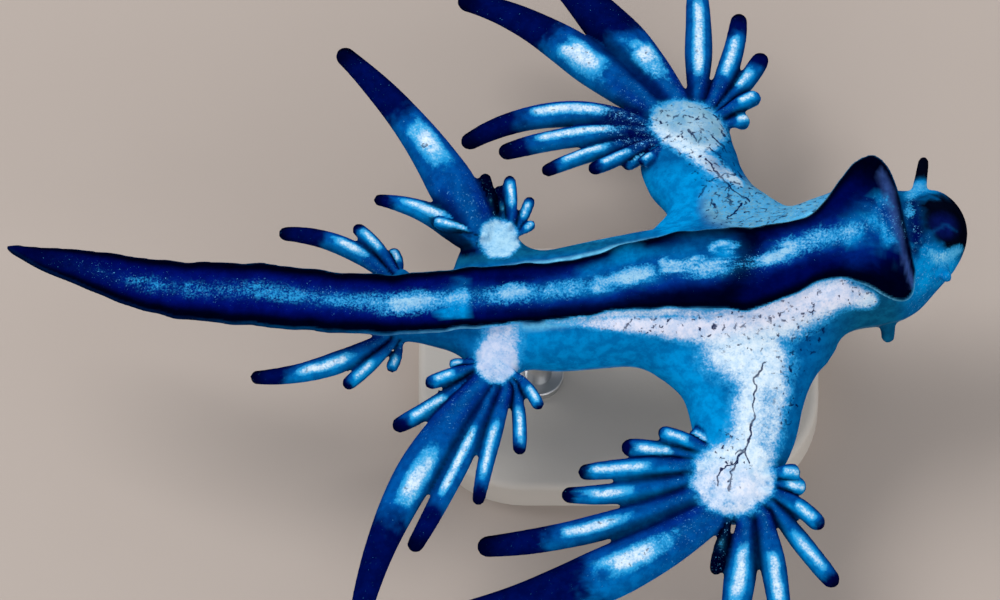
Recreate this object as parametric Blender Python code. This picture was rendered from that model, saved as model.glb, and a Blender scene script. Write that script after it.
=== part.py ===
# Blue dragon sea slug (Glaucus atlanticus), a still life-size model on a plain display stand.
# Metres, +Z up. The slug floats foot side up, as in life: +X runs to the snout, +Y is the
# animal's right flank, and the dark sole of the foot faces up. The origin is the middle of
# the underside of the stand's base.

import math

import bmesh
import bpy
from mathutils import Vector

MM = 0.001
GAP = 0.3                       # left between neighbouring pieces, millimetres
MIN_THICK = 0.5                 # thinnest feeler or finger, away from its tip, millimetres
FAR = 40.0                      # beyond the whole model, millimetres

AXIS_HEIGHT = 7.5 * MM          # the body's long axis above the floor
BODY_SIDES = 22
ARM_SIDES = 16

# Body sections from tail tip to snout: X, the axis' Y, half width, top above and belly below
# the axis plane, all in millimetres. The slug lies foot side up, so the belly is its back.
BODY_STATIONS = (
    (-22.6, 2.15, 0.16, 0.10, 0.14),
    (-21.5, 1.63, 0.32, 0.20, 0.40),
    (-20.2, 1.24, 0.45, 0.32, 0.62),
    (-16.6, 0.20, 0.60, 0.50, 0.95),
    (-13.3, -0.07, 0.68, 0.60, 1.10),
    (-10.3, -0.43, 0.72, 0.72, 1.10),
    (-8.2, -0.54, 0.90, 0.85, 1.25),
    (-7.1, -0.56, 1.16, 1.00, 1.38),
    (-5.1, -0.45, 1.85, 1.40, 1.90),
    (-2.8, -0.40, 2.30, 1.80, 2.30),
    (-0.6, -0.12, 2.45, 2.10, 2.40),
    (1.7, 0.20, 2.60, 2.25, 2.50),
    (4.8, 0.37, 2.75, 2.35, 2.60),
    (7.4, 1.25, 2.80, 2.35, 2.60),
    (9.2, 1.85, 2.75, 2.30, 2.60),
    (10.2, 1.80, 2.50, 2.20, 2.45),
    (11.0, 2.00, 2.30, 2.05, 2.25),
    (11.9, 2.50, 1.80, 1.65, 1.75),
    (12.5, 2.64, 1.22, 1.15, 1.15),
    (12.8, 2.70, 0.66, 0.62, 0.62),
    (12.93, 2.72, 0.16, 0.15, 0.15),
)
BODY_RING_STEP = 1.1            # millimetres between body rings, at most

# The sole: X and Y of its right and left edges, and its height above the axis plane, in
# millimetres. The two edges run side by side from the tail tip to the flared front margin.
SOLE_STATIONS = (
    ((-22.8, 2.24), (-22.8, 2.10), 0.20),
    ((-21.5, 2.06), (-21.5, 1.20), 0.35),
    ((-20.2, 1.92), (-20.2, 0.54), 0.50),
    ((-18.5, 1.66), (-18.5, -0.28), 0.60),
    ((-16.6, 1.35), (-16.6, -0.92), 0.70),
    ((-13.3, 1.20), (-13.3, -1.35), 0.80),
    ((-10.3, 0.80), (-10.3, -1.65), 0.90),
    ((-8.2, 0.68), (-8.2, -1.77), 1.00),
    ((-5.1, 0.76), (-5.1, -1.72), 1.50),
    ((-2.1, 0.78), (-2.1, -1.64), 1.90),
    ((0.3, 1.40), (0.3, -1.36), 2.15),
    ((2.6, 1.88), (2.6, -1.33), 2.25),
    ((4.9, 2.04), (4.5, -1.45), 2.27),
    ((6.6, 2.32), (6.0, -0.98), 2.30),
    ((7.5, 2.98), (7.2, -0.36), 2.30),
    ((8.2, 3.90), (8.1, -0.12), 2.30),
    ((8.8, 4.58), (8.9, -0.32), 2.30),
    ((9.4, 4.84), (9.7, -0.82), 2.30),
    ((9.9, 4.30), (10.4, -1.02), 2.28),
    ((10.3, 3.20), (10.8, -0.66), 2.25),
    ((10.5, 2.50), (10.9, 0.20), 2.22),
)
FOOT_THICK = 0.75               # at the middle of the sole, millimetres
FOOT_EDGE_THICK = 0.5
FOOT_TAIL_THICK = 0.55          # at the middle of the sole near the tail tip
# Section of the foot: share of its width, and 1 on the sole, 0 at the edge, -1 underneath.
FOOT_SECTION = ((0, 0), (0.1, 1), (0.35, 1), (0.65, 1), (0.9, 1), (1, 0),
                (0.9, -1), (0.65, -1), (0.35, -1), (0.1, -1))

# Arms: how far out from the body's axis, the arm's middle along X, its half width along X,
# and its thickness above and below the plane of the fan, in millimetres.
FRONT_ARM_LEFT = (
    (0.6, 4.2, 4.30, 1.50, 1.60),
    (2.3, 4.1, 3.95, 1.50, 1.60),
    (2.9, 4.15, 3.35, 1.45, 1.50),
    (3.45, 4.40, 2.70, 1.35, 1.40),
    (4.1, 4.60, 2.25, 1.25, 1.30),
    (5.2, 4.62, 1.98, 1.12, 1.15),
    (6.3, 4.45, 1.78, 1.05, 1.00),
)
FRONT_ARM_RIGHT = (
    (0.6, 4.6, 4.30, 1.50, 1.60),
    (2.3, 4.5, 3.80, 1.50, 1.60),
    (2.9, 4.35, 3.20, 1.45, 1.50),
    (3.5, 4.05, 2.60, 1.35, 1.40),
    (4.1, 3.50, 2.15, 1.25, 1.30),
    (5.0, 2.85, 1.98, 1.12, 1.15),
    (6.3, 2.65, 1.85, 1.05, 1.00),
)
MIDDLE_ARM_LEFT = (
    (0.5, -4.45, 2.10, 0.85, 0.95),
    (1.5, -4.45, 1.85, 0.80, 0.90),
    (2.0, -4.50, 1.35, 0.78, 0.85),
)
MIDDLE_ARM_RIGHT = (
    (0.5, -4.40, 2.10, 0.85, 0.95),
    (1.5, -4.40, 1.90, 0.80, 0.90),
    (2.1, -4.48, 1.35, 0.78, 0.85),
)
REAR_ARM_LEFT = ((0.1, -8.0, 0.75, 0.30, 0.55),)
REAR_ARM_RIGHT = ((0.1, -8.0, 0.75, 0.30, 0.55),)

# The fans. side is the way the arm points along Y, droop the degrees it hangs below level,
# axis_y the body's axis there, reach how far out the palm's middle is and along its place in
# X, palm the palm's radius, rim and rise where the cerata's roots sit round it and above the
# fan's plane, top and bottom the palm's faces above and below that plane.
# Each ceras, seen from the sole side: the angle round the palm of its root, its heading from
# root to tip, the bend of its second half against its first (degrees, all counted from +X
# towards the fan's outer side), its length and its greatest width. Long cerata are pieces of
# their own, small ones grow in one piece with the palm. All sizes are in millimetres.
FANS = {
    "front_right": dict(
        side=1, droop=14, axis_y=0.28, reach=7.26, along=2.70, palm=1.55, rim=1.72, rise=0.6,
        top=1.10, bottom=0.90, stations=FRONT_ARM_RIGHT, part_angle=100,
        long=((143, 146, 23, 9.1, 1.25), (113, 126, 1, 9.3, 1.70), (170, 187, 34, 7.3, 0.81)),
        small=((181, 190, 12, 5.6, 0.70), (191, 202, 9, 4.2, 0.56), (201, 211, -5, 2.6, 0.50),
               (211, 222, 0, 1.4, 0.50), (223, 234, 0, 0.9, 0.50),
               (84, 92, 3, 5.4, 0.89), (63, 78, 11, 4.1, 0.67), (50, 59, 11, 2.8, 0.59),
               (35, 32, 0, 1.5, 0.50), (19, 8, 0, 0.8, 0.50))),
    "front_left": dict(
        side=-1, droop=14, axis_y=0.34, reach=7.26, along=4.19, palm=1.48, rim=1.68, rise=0.6,
        top=1.10, bottom=0.90, stations=FRONT_ARM_LEFT, part_angle=112,
        long=((125, 159, 12, 12.0, 1.85), (153, 167, 3, 8.2, 0.85)),
        small=((173, 173, 3, 4.7, 0.74), (193, 175, -4, 4.2, 0.63), (212, 185, -4, 2.8, 0.56),
               (227, 199, -7, 1.8, 0.50), (240, 211, -4, 0.9, 0.50),
               (97, 99, -4, 1.9, 0.50), (75, 98, 2, 4.6, 1.10), (51, 81, 4, 4.5, 0.89),
               (32, 52, -1, 3.8, 0.70), (17, 38, 13, 2.1, 0.56), (1, 14, 3, 1.0, 0.50),
               (-12, 8, 0, 0.9, 0.50))),
    "middle_right": dict(
        side=1, droop=2, axis_y=-0.45, reach=2.60, along=-4.52, palm=0.92, rim=1.02, rise=0.4,
        top=0.75, bottom=0.70, stations=MIDDLE_ARM_RIGHT, part_angle=None,
        long=((120, 125, 6, 9.1, 1.56), (148, 161, 26, 4.2, 0.54)),
        small=((178, 166, 3, 1.4, 0.50), (96, 102, -5, 1.9, 0.50), (78, 95, -2, 1.5, 0.50),
               (60, 93, 4, 1.9, 0.50), (42, 70, 1, 1.4, 0.50), (25, 45, 0, 0.6, 0.50))),
    "middle_left": dict(
        side=-1, droop=2, axis_y=-0.45, reach=2.30, along=-4.55, palm=0.92, rim=1.10, rise=0.4,
        top=0.75, bottom=0.70, stations=MIDDLE_ARM_LEFT, part_angle=None,
        long=((122, 113, -16, 11.3, 1.63), (99, 115, 3, 7.1, 0.74)),
        small=((149, 146, 6, 3.5, 0.59), (167, 158, -3, 1.7, 0.50), (186, 172, 0, 0.7, 0.50),
               (72, 103, -4, 4.7, 0.59), (52, 87, 6, 2.7, 0.50), (35, 60, 5, 1.4, 0.50))),
    "rear_right": dict(
        side=1, droop=8, axis_y=-0.54, reach=1.35, along=-8.10, palm=0.62, rim=0.66, rise=-0.05,
        top=0.40, bottom=0.50, stations=REAR_ARM_RIGHT, part_angle=None, long=(),
        small=((146, 155, 26, 4.6, 0.72), (120, 124, 10, 2.4, 0.50), (88, 103, 10, 1.0, 0.50))),
    "rear_left": dict(
        side=-1, droop=18, axis_y=-0.54, reach=0.62, along=-8.10, palm=0.62, rim=0.74, rise=-0.05,
        top=0.40, bottom=0.50, stations=REAR_ARM_LEFT, part_angle=None, long=(),
        small=((152, 164, 17, 5.2, 0.78), (124, 138, 3, 2.3, 0.50), (94, 115, 0, 0.9, 0.50))),
}

# One ceras from root to tip: share of its length, and width as a share of the greatest.
CERAS_PROFILE = ((0.0, 0.58), (0.18, 0.82), (0.38, 1.0), (0.6, 0.86), (0.8, 0.60), (0.94, 0.40))
CERAS_FLATNESS = 0.78           # thickness against width
CERAS_SIDES = 7
CERAS_ROOT = 0.55               # how far a root runs into the palm, millimetres
CERAS_SHORT = 2.2               # below this length a ceras has half the rings, millimetres
THICK_SHARE = 0.5               # rings wider than this share keep the least thickness

# A palm rounds off over these degrees, and its rim keeps this share of its thickness.
PALM_TURNS = (0, 30, 55, 75, 86)
PALM_RIM_SHARE = 0.35

FEELER_LENGTH = 1.05            # oral tentacle outside the head, millimetres
FEELER_SHORT = 0.55             # the other one, drawn in
FEELER_WIDTH = 0.62
NUB_LENGTH = 0.70               # rhinophore outside the head, millimetres
NUB_WIDTH = 0.60

FEELER_ROOT = 1.0               # how far a feeler starts inside the head, millimetres
FEELER_PROFILE = ((0, 1.0), (0.45, 0.92), (0.85, 0.8), (0.97, 0.42))
FEELER_SIDES = 8

# Feelers of the head: place along X, degrees round the body from +Y towards the sole, how far
# they lean forward, length outside the skin and width.
FEELERS = (
    ("oral_tentacle_right", 11.15, 25, 0.12, FEELER_LENGTH, FEELER_WIDTH),
    ("oral_tentacle_left", 12.0, 160, 0.30, FEELER_SHORT, FEELER_WIDTH),
    ("rhinophore_left", 9.95, 205, 0.0, NUB_LENGTH, NUB_WIDTH),
    ("rhinophore_right", 9.95, -25, 0.0, NUB_LENGTH, NUB_WIDTH),
)

MOUTH_AT = (11.85, 2.10)        # X and Y of the mouth on the underside of the head
LIP_RADIUS = 0.45
LIP_THICK = 0.17
LIP_SLOPE = 0.55                # fall of the lips towards the snout, as a share
SLIT_SIZE = (0.12, 0.30, 0.45)  # half the mouth's length, width and depth, millimetres

BASE_LENGTH, BASE_DEPTH, BASE_THICK = 15.0, 10.0, 1.6
BASE_CORNER = 4.0
BASE_CHAMFER = 0.3
ROD_DIAMETER = 1.0
ROD_PLACES = {"stand_rod_front": 4.2, "stand_rod_rear": -3.0}

# Where thin cuts part the body, along X in millimetres.
NECK_CUT, WAIST_CUT, HIP_CUT, TAIL_CUT = 9.3, 0.3, -6.7, -14.2
FOOT_CUTS = (-8.9, 0.3)
WRIST_CUT = 4.75                # out from the axis, along a front arm

# Colour and roughness by the start of a node's name.
FINISHES = (
    ("foot", (0.01, 0.03, 0.22), 0.25),
    ("ceras", (0.02, 0.10, 0.45), 0.25),
    ("palm", (0.10, 0.32, 0.62), 0.3),
    ("arm", (0.08, 0.36, 0.66), 0.3),
    ("tail", (0.05, 0.16, 0.45), 0.3),
    ("stand_rod", (0.78, 0.78, 0.78), 0.35),
    ("stand", (0.85, 0.84, 0.80), 0.5),
    ("", (0.12, 0.40, 0.66), 0.3),
)


def clear_scene():
    for old in list(bpy.data.objects):
        bpy.data.objects.remove(old, do_unlink=True)


def new_collection(name):
    made = bpy.data.collections.new(name)
    bpy.context.scene.collection.children.link(made)
    return made


def place_object(name, form, collection):
    """Turns a bmesh into an object of the given name."""
    form.normal_update()
    bmesh.ops.recalc_face_normals(form, faces=form.faces)
    mesh = bpy.data.meshes.new(name)
    form.to_mesh(mesh)
    form.free()
    made = bpy.data.objects.new(name, mesh)
    collection.objects.link(made)
    return made


def between(stations, x):
    """Every column of a table at x, on smooth curves that never overshoot its rows."""
    xs = [row[0] for row in stations]
    if x <= xs[0]:
        return stations[0][1:]
    if x >= xs[-1]:
        return stations[-1][1:]
    i = max(k for k in range(len(xs) - 1) if xs[k] <= x)
    return [hermite(xs, [row[c] for row in stations], i, x) for c in range(1, len(stations[0]))]


def slope_at(xs, ys, k):
    """A monotone curve's slope at row k."""
    if k in (0, len(xs) - 1):
        a = min(k, len(xs) - 2)
        return (ys[a + 1] - ys[a]) / (xs[a + 1] - xs[a])
    before = (ys[k] - ys[k - 1]) / (xs[k] - xs[k - 1])
    after = (ys[k + 1] - ys[k]) / (xs[k + 1] - xs[k])
    if before * after <= 0:
        return 0.0
    return 2 * before * after / (before + after)


def hermite(xs, ys, i, x):
    h = xs[i + 1] - xs[i]
    t = (x - xs[i]) / h
    a, b = slope_at(xs, ys, i), slope_at(xs, ys, i + 1)
    return (ys[i] * (1 + 2 * t) * (1 - t) ** 2 + ys[i + 1] * t * t * (3 - 2 * t)
            + a * h * t * (1 - t) ** 2 - b * h * t * t * (1 - t))


def loft(rings, tip=None):
    """A closed bmesh through rings of points, flat at its ends or drawn to a tip."""
    form = bmesh.new()
    rows = [[form.verts.new(p) for p in ring] for ring in rings]
    count = len(rows[0])
    for low, high in zip(rows, rows[1:]):
        for k in range(count):
            n = (k + 1) % count
            form.faces.new((low[k], low[n], high[n], high[k]))
    form.faces.new(rows[0][::-1])
    if tip is None:
        form.faces.new(rows[-1])
    else:
        end = form.verts.new(tip)
        for k in range(count):
            form.faces.new((rows[-1][k], rows[-1][(k + 1) % count], end))
    bmesh.ops.triangulate(form, faces=form.faces)
    return form


def applied(target):
    """Replaces an object's mesh by what its modifiers make of it."""
    bpy.context.view_layer.update()
    seen = target.evaluated_get(bpy.context.evaluated_depsgraph_get())
    mesh = bpy.data.meshes.new_from_object(seen)
    target.modifiers.clear()
    target.data = mesh
    return target


def combine(target, others, operation):
    """One Boolean of the target with a collection of closed pieces, which are then removed."""
    group = new_collection("operands")
    for other in others:
        for home in list(other.users_collection):
            home.objects.unlink(other)
        group.objects.link(other)
    step = target.modifiers.new(operation.lower(), "BOOLEAN")
    step.operation = operation
    step.solver = "MANIFOLD"
    step.operand_type = "COLLECTION"
    step.collection = group
    applied(target)
    for other in list(group.objects):
        bpy.data.objects.remove(other, do_unlink=True)
    bpy.data.collections.remove(group)
    return target


def keep_largest(target):
    """Drops every closed surface of the object but the largest."""
    form = bmesh.new()
    form.from_mesh(target.data)
    left = set(form.verts)
    shells = []
    while left:
        shell, front = set(), [left.pop()]
        while front:
            vert = front.pop()
            shell.add(vert)
            for edge in vert.link_edges:
                other = edge.other_vert(vert)
                if other in left:
                    left.discard(other)
                    front.append(other)
        shells.append(shell)
    shells.sort(key=len)
    for shell in shells[:-1]:
        bmesh.ops.delete(form, geom=list(shell), context="VERTS")
    form.to_mesh(target.data)
    form.free()
    return target


def copy_of(source, name):
    made = source.copy()
    made.data = source.data.copy()
    made.name = name
    source.users_collection[0].objects.link(made)
    return made


def box_object(name, low, high, frame=None):
    """A box between two corners, in millimetres, in a fan's directions if one is given."""
    form = bmesh.new()
    bmesh.ops.create_cube(form, size=1.0)
    for vert in form.verts:
        local = [low[i] + (vert.co[i] + 0.5) * (high[i] - low[i]) for i in range(3)]
        vert.co = frame.place(*local) if frame else Vector(local) * MM
    return place_object(name, form, PARTS)


class Fan:
    """The tilted plane of one arm: u along +X, v outward from the axis, w towards the sole."""

    def __init__(self, data):
        self.data = data
        lean = math.radians(data["droop"])
        side = data["side"]
        self.start = Vector((0, data["axis_y"] * MM, AXIS_HEIGHT))
        self.out = Vector((0, side * math.cos(lean), -math.sin(lean)))
        self.up = Vector((0, side * math.sin(lean), math.cos(lean)))

    def place(self, u, v, w):
        return self.start + Vector((u * MM, 0, 0)) + self.out * v * MM + self.up * w * MM


def body_form(grow=0.0):
    """The trunk, neck, head and tail as one loft, larger all round by grow millimetres."""
    places = []
    for a, b in zip(BODY_STATIONS, BODY_STATIONS[1:]):
        steps = max(1, math.ceil((b[0] - a[0]) / BODY_RING_STEP))
        places += [a[0] + (b[0] - a[0]) * k / steps for k in range(steps)]
    places.append(BODY_STATIONS[-1][0])
    rings = []
    for x in places:
        y, half, top, belly = between(BODY_STATIONS, x)
        ring = []
        for k in range(BODY_SIDES):
            turn = 2 * math.pi * k / BODY_SIDES
            rise = (top if math.sin(turn) > 0 else belly) + grow
            ring.append(Vector((x * MM, (y + (half + grow) * math.cos(turn)) * MM,
                                AXIS_HEIGHT + rise * math.sin(turn) * MM)))
        rings.append(ring)
    return loft(rings)


def sole_rows():
    """Edges and height of the sole at every ring, smoothed between the stations."""
    table = [(i, a[0], a[1], b[0], b[1], z) for i, (a, b, z) in enumerate(SOLE_STATIONS)]
    rows = []
    for i in range(2 * len(SOLE_STATIONS) - 1):
        rows.append(between(table, i / 2))
    return rows


def outward(points, k, hand):
    """Unit vector out of a rail of 2D points at point k, to its left (1) or right (-1)."""
    along = points[min(k + 1, len(points) - 1)] - points[max(k - 1, 0)]
    return Vector((-along.y, along.x)).normalized() * hand


def foot_form(grow=0.0):
    """The foot as a flat loft between its two edges, thickest along its middle."""
    rows = sole_rows()
    right = [Vector((row[0], row[1])) for row in rows]
    left = [Vector((row[2], row[3])) for row in rows]
    rings = []
    for i, row in enumerate(rows):
        share = i / (len(rows) - 1)
        middle = FOOT_TAIL_THICK + (FOOT_THICK - FOOT_TAIL_THICK) * min(1, share * 2)
        start = left[i] + outward(left, i, -1) * grow
        stop = right[i] + outward(right, i, 1) * grow
        back = Vector((-grow if i == 0 else 0, 0))
        ring = []
        for s, deep in FOOT_SECTION:
            spot = start.lerp(stop, s) + back
            thick = FOOT_EDGE_THICK + (middle - FOOT_EDGE_THICK) * math.sin(math.pi * s)
            high, low = row[4] + grow, row[4] - thick - grow
            level = (high + low) / 2 + deep * (high - low) / 2
            ring.append(Vector((spot.x * MM, spot.y * MM, AXIS_HEIGHT + level * MM)))
        rings.append(ring)
    return loft(rings)


def arm_form(fan):
    """An arm from inside the trunk to its rounded palm."""
    data = fan.data
    stations = list(data["stations"])
    reach, palm, along = data["reach"], data["palm"], data["along"]
    for turn in PALM_TURNS:
        swing = math.radians(turn)
        fall = PALM_RIM_SHARE + (1 - PALM_RIM_SHARE) * math.cos(swing)
        stations.append((reach + palm * math.sin(swing), along, palm * math.cos(swing),
                         data["top"] * fall, data["bottom"] * fall))
    rings = []
    for out, middle, half, up, down in stations:
        ring = []
        for k in range(ARM_SIDES):
            turn = 2 * math.pi * k / ARM_SIDES
            rise = up if math.sin(turn) > 0 else down
            ring.append(fan.place(middle + half * math.cos(turn), out, rise * math.sin(turn)))
        rings.append(ring)
    return loft(rings)


def ceras_form(fan, row, grow=0.0):
    """One tapered ceras on the palm's rim, bent in the plane of its fan."""
    root, heading, bend, length, width = row
    data = fan.data
    turn = math.radians(root)
    centre = Vector((data["along"], data["reach"]))
    out = Vector((math.cos(turn), math.sin(turn)))
    place = centre + out * data["rim"]
    inward = centre + out * (data["palm"] - CERAS_ROOT - grow)
    first = math.radians(heading - bend)
    sweep = math.radians(2 * bend)
    profile = list(CERAS_PROFILE)
    if length < CERAS_SHORT:
        profile = profile[::2] + profile[-1:]
    points = [(inward, turn, profile[0][1])]
    pen, last = place.copy(), 0.0
    for share, size in profile:
        middle = first + sweep * (share + last) / 2
        pen = pen + Vector((math.cos(middle), math.sin(middle))) * (share - last) * length
        last = share
        points.append((pen.copy(), first + sweep * share, size))
    rings = []
    for spot, angle, size in points:
        side = Vector((-math.sin(angle), math.cos(angle)))
        least = MIN_THICK if size > THICK_SHARE else 0.0
        half = max(width * size, least) / 2 + grow
        thick = max(width * size * CERAS_FLATNESS, least) / 2
        ring = []
        for k in range(CERAS_SIDES):
            swing = 2 * math.pi * k / CERAS_SIDES
            flat = spot + side * half * math.cos(swing)
            ring.append(fan.place(flat.x, flat.y,
                                  data["rise"] + (thick + grow) * math.sin(swing)))
        rings.append(ring)
    end = first + sweep
    tip = pen + Vector((math.cos(end), math.sin(end))) * ((1 - last) * length + grow)
    return loft(rings, fan.place(tip.x, tip.y, data["rise"]))


def feeler_form(root, tip, width):
    """A short blunt feeler from root to tip."""
    line = (tip - root).normalized()
    side = line.orthogonal().normalized()
    other = line.cross(side)
    rings = []
    for share, size in FEELER_PROFILE:
        spot = root.lerp(tip, share)
        ring = []
        for k in range(FEELER_SIDES):
            turn = 2 * math.pi * k / FEELER_SIDES
            ring.append(spot + (side * math.cos(turn) + other * math.sin(turn)) * width * size / 2)
        rings.append(ring)
    return loft(rings, tip)


def head_point(x, angle, depth):
    """A point on the body's skin at x, angle degrees up from +Y, sunk by depth millimetres."""
    y, half, top, belly = between(BODY_STATIONS, x)
    turn = math.radians(angle)
    rise = top if math.sin(turn) > 0 else belly
    return Vector((x * MM, (y + (half - depth) * math.cos(turn)) * MM,
                   AXIS_HEIGHT + (rise - depth) * math.sin(turn) * MM))


def lip_pieces():
    """A ring of lip round the mouth, and the slit that is cut inside it."""
    x, y = MOUTH_AT
    middle, half, top, belly = between(BODY_STATIONS, x)
    rise = top * math.sqrt(max(0.0, 1 - ((y - middle) / half) ** 2))
    centre = Vector((x * MM, y * MM, AXIS_HEIGHT + rise * MM))
    bpy.ops.mesh.primitive_torus_add(major_radius=LIP_RADIUS * MM, minor_radius=LIP_THICK * MM,
                                     major_segments=14, minor_segments=6)
    ring = bpy.context.object
    lip = bmesh.new()
    lip.from_mesh(ring.data)
    bpy.data.objects.remove(ring, do_unlink=True)
    for vert in lip.verts:
        vert.co = centre + vert.co - Vector((0, 0, LIP_SLOPE * vert.co.x))
    bmesh.ops.triangulate(lip, faces=lip.faces)
    slit = bmesh.new()
    bmesh.ops.create_icosphere(slit, subdivisions=1, radius=1.0)
    bmesh.ops.scale(slit, verts=slit.verts, vec=Vector(SLIT_SIZE) * MM)
    bmesh.ops.translate(slit, verts=slit.verts, vec=centre)
    return place_object("lip", lip, PARTS), place_object("mouth", slit, PARTS)


def rounded_plate(name):
    """The stand's base, with round corners and a chamfered rim."""
    form = bmesh.new()
    bmesh.ops.create_cube(form, size=1.0)
    bmesh.ops.scale(form, verts=form.verts,
                    vec=(BASE_LENGTH * MM, BASE_DEPTH * MM, BASE_THICK * MM))
    bmesh.ops.translate(form, verts=form.verts, vec=(0, 0, BASE_THICK * MM / 2))
    corners = [e for e in form.edges if abs(e.verts[0].co.z - e.verts[1].co.z) > MM / 2]
    bmesh.ops.bevel(form, geom=corners, offset=BASE_CORNER * MM, segments=6, affect="EDGES",
                    profile=0.5, material=-1)
    rim = [e for e in form.edges if all(v.co.z > BASE_THICK * MM / 2 for v in e.verts)]
    bmesh.ops.bevel(form, geom=rim, offset=BASE_CHAMFER * MM, segments=1, affect="EDGES",
                    profile=0.5, material=-1)
    return place_object(name, form, PARTS)


def rod(name, x):
    """A rod from the base to just under the slug's back."""
    y, half, top, belly = between(BODY_STATIONS, x)
    low = (BASE_THICK + GAP) * MM
    high = AXIS_HEIGHT - (belly + GAP) * MM
    form = bmesh.new()
    bmesh.ops.create_cone(form, cap_ends=True, segments=16, radius1=ROD_DIAMETER * MM / 2,
                          radius2=ROD_DIAMETER * MM / 2, depth=high - low)
    bmesh.ops.translate(form, verts=form.verts, vec=(x * MM, y * MM, (low + high) / 2))
    return place_object(name, form, PARTS)


def finish(name, colour, roughness):
    made = bpy.data.materials.new(name)
    made.use_nodes = True
    shader = made.node_tree.nodes["Principled BSDF"]
    shader.inputs["Base Color"].default_value = (*colour, 1.0)
    shader.inputs["Roughness"].default_value = roughness
    shader.inputs["Metallic"].default_value = 1.0 if name.startswith("stand_rod") else 0.0
    return made


def sliced(source, name, low, high):
    """The stretch of a piece between two places along X, in millimetres."""
    piece = copy_of(source, name)
    block = box_object("block", (low, -FAR, -FAR), (high, FAR, FAR))
    return keep_largest(combine(piece, [block], "INTERSECT"))


def build_limb(name, data, body_room, foot_room):
    """One arm with its palm and its cerata, clear of the flank and the foot."""
    fan = Fan(data)
    cerata = [place_object("ceras", ceras_form(fan, row), PARTS) for row in data["small"]]
    limb = place_object("limb", arm_form(fan), PARTS)
    combine(limb, cerata, "UNION")
    long_rows = data["long"]
    rooms = [place_object("room", ceras_form(fan, row, GAP), PARTS) for row in long_rows]
    rooms += [copy_of(body_room, "room"), copy_of(foot_room, "room")]
    for room in rooms:
        combine(limb, [room], "DIFFERENCE")
    keep_largest(limb)
    for k, row in enumerate(long_rows):
        label = "ceras_" + name + "_" + str(k + 1)
        ceras = place_object(label, ceras_form(fan, row), PARTS)
        for before in long_rows[:k]:
            combine(ceras, [place_object("room", ceras_form(fan, before, GAP), PARTS)],
                    "DIFFERENCE")
        keep_largest(ceras)
    part_limb(limb, name, fan)


def part_limb(limb, name, fan):
    """Parts a front limb into its arm and the two halves of its palm, by thin cuts."""
    if fan.data["part_angle"] is None:
        limb.name = "arm_" + name
        return
    half = GAP / 2
    arm = copy_of(limb, "arm_" + name)
    near = box_object("block", (-FAR, -FAR, -FAR), (FAR, WRIST_CUT - half, FAR), fan)
    keep_largest(combine(arm, [near], "INTERSECT"))
    for label, sign in (("rear", -1), ("fore", 1)):
        palm = copy_of(limb, "palm_" + name + "_" + label)
        outer = box_object("block", (-FAR, WRIST_CUT + half, -FAR), (FAR, FAR, FAR), fan)
        combine(palm, [outer], "INTERSECT")
        turn = math.radians(fan.data["part_angle"])
        split = bmesh.new()
        bmesh.ops.create_cube(split, size=1.0)
        for vert in split.verts:
            along = vert.co.x * 2 * FAR
            across = sign * (half + (vert.co.y + 0.5) * FAR)
            u = fan.data["along"] + along * math.cos(turn) + across * math.sin(turn)
            v = fan.data["reach"] + along * math.sin(turn) - across * math.cos(turn)
            vert.co = fan.place(u, v, vert.co.z * 2 * FAR)
        keep_largest(combine(palm, [place_object("block", split, PARTS)], "INTERSECT"))
    bpy.data.objects.remove(limb, do_unlink=True)


def build_body(body_room, foot_room):
    """The head, trunk and tail, parted along X, with the foot's bed cut into them."""
    body = place_object("body", body_form(), PARTS)
    combine(body, [copy_of(foot_room, "room")], "DIFFERENCE")
    half = GAP / 2
    cuts = (-FAR, TAIL_CUT, HIP_CUT, WAIST_CUT, NECK_CUT, FAR)
    names = ("tail_tip", "tail_base", "trunk_rear", "trunk_front", "head")
    for name, low, high in zip(names, cuts, cuts[1:]):
        sliced(body, name, low + half, high - half)
    bpy.data.objects.remove(body, do_unlink=True)
    lip, mouth = lip_pieces()
    head = bpy.data.objects["head"]
    combine(head, [lip], "UNION")
    keep_largest(combine(head, [mouth], "DIFFERENCE"))
    for name, x, angle, lean, length, width in FEELERS:
        inside, skin = head_point(x, angle, FEELER_ROOT), head_point(x, angle, 0.0)
        line = ((skin - inside).normalized() + Vector((lean, 0, 0))).normalized()
        root, tip = skin - line * FEELER_ROOT * MM, skin + line * length * MM
        feeler = place_object(name, feeler_form(root, tip, width * MM), PARTS)
        combine(feeler, [copy_of(body_room, "room")], "DIFFERENCE")
        keep_largest(combine(feeler, [copy_of(foot_room, "room")], "DIFFERENCE"))


def build_foot():
    foot = place_object("foot", foot_form(), PARTS)
    half = GAP / 2
    cuts = (-FAR, *FOOT_CUTS, FAR)
    for name, low, high in zip(("foot_rear", "foot_middle", "foot_front"), cuts, cuts[1:]):
        sliced(foot, name, low + half, high - half)
    bpy.data.objects.remove(foot, do_unlink=True)


def dress():
    """One finish for each node, from what its name begins with."""
    for piece in PARTS.objects:
        for start, colour, roughness in FINISHES:
            if piece.name.startswith(start):
                piece.data.materials.clear()
                piece.data.materials.append(finish(piece.name, colour, roughness))
                break
        piece.data.shade_smooth()
        piece.data.set_sharp_from_angle(angle=math.radians(40))


clear_scene()
PARTS = new_collection("blue_dragon_sea_slug")
BODY_ROOM = place_object("body_room", body_form(GAP), PARTS)
FOOT_ROOM = place_object("foot_room", foot_form(GAP), PARTS)
build_body(BODY_ROOM, FOOT_ROOM)
build_foot()
for fan_name, fan_data in FANS.items():
    build_limb(fan_name, fan_data, BODY_ROOM, FOOT_ROOM)
rounded_plate("stand_base")
for rod_name, rod_x in ROD_PLACES.items():
    rod(rod_name, rod_x)
for room in (BODY_ROOM, FOOT_ROOM):
    bpy.data.objects.remove(room, do_unlink=True)
dress()
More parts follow.
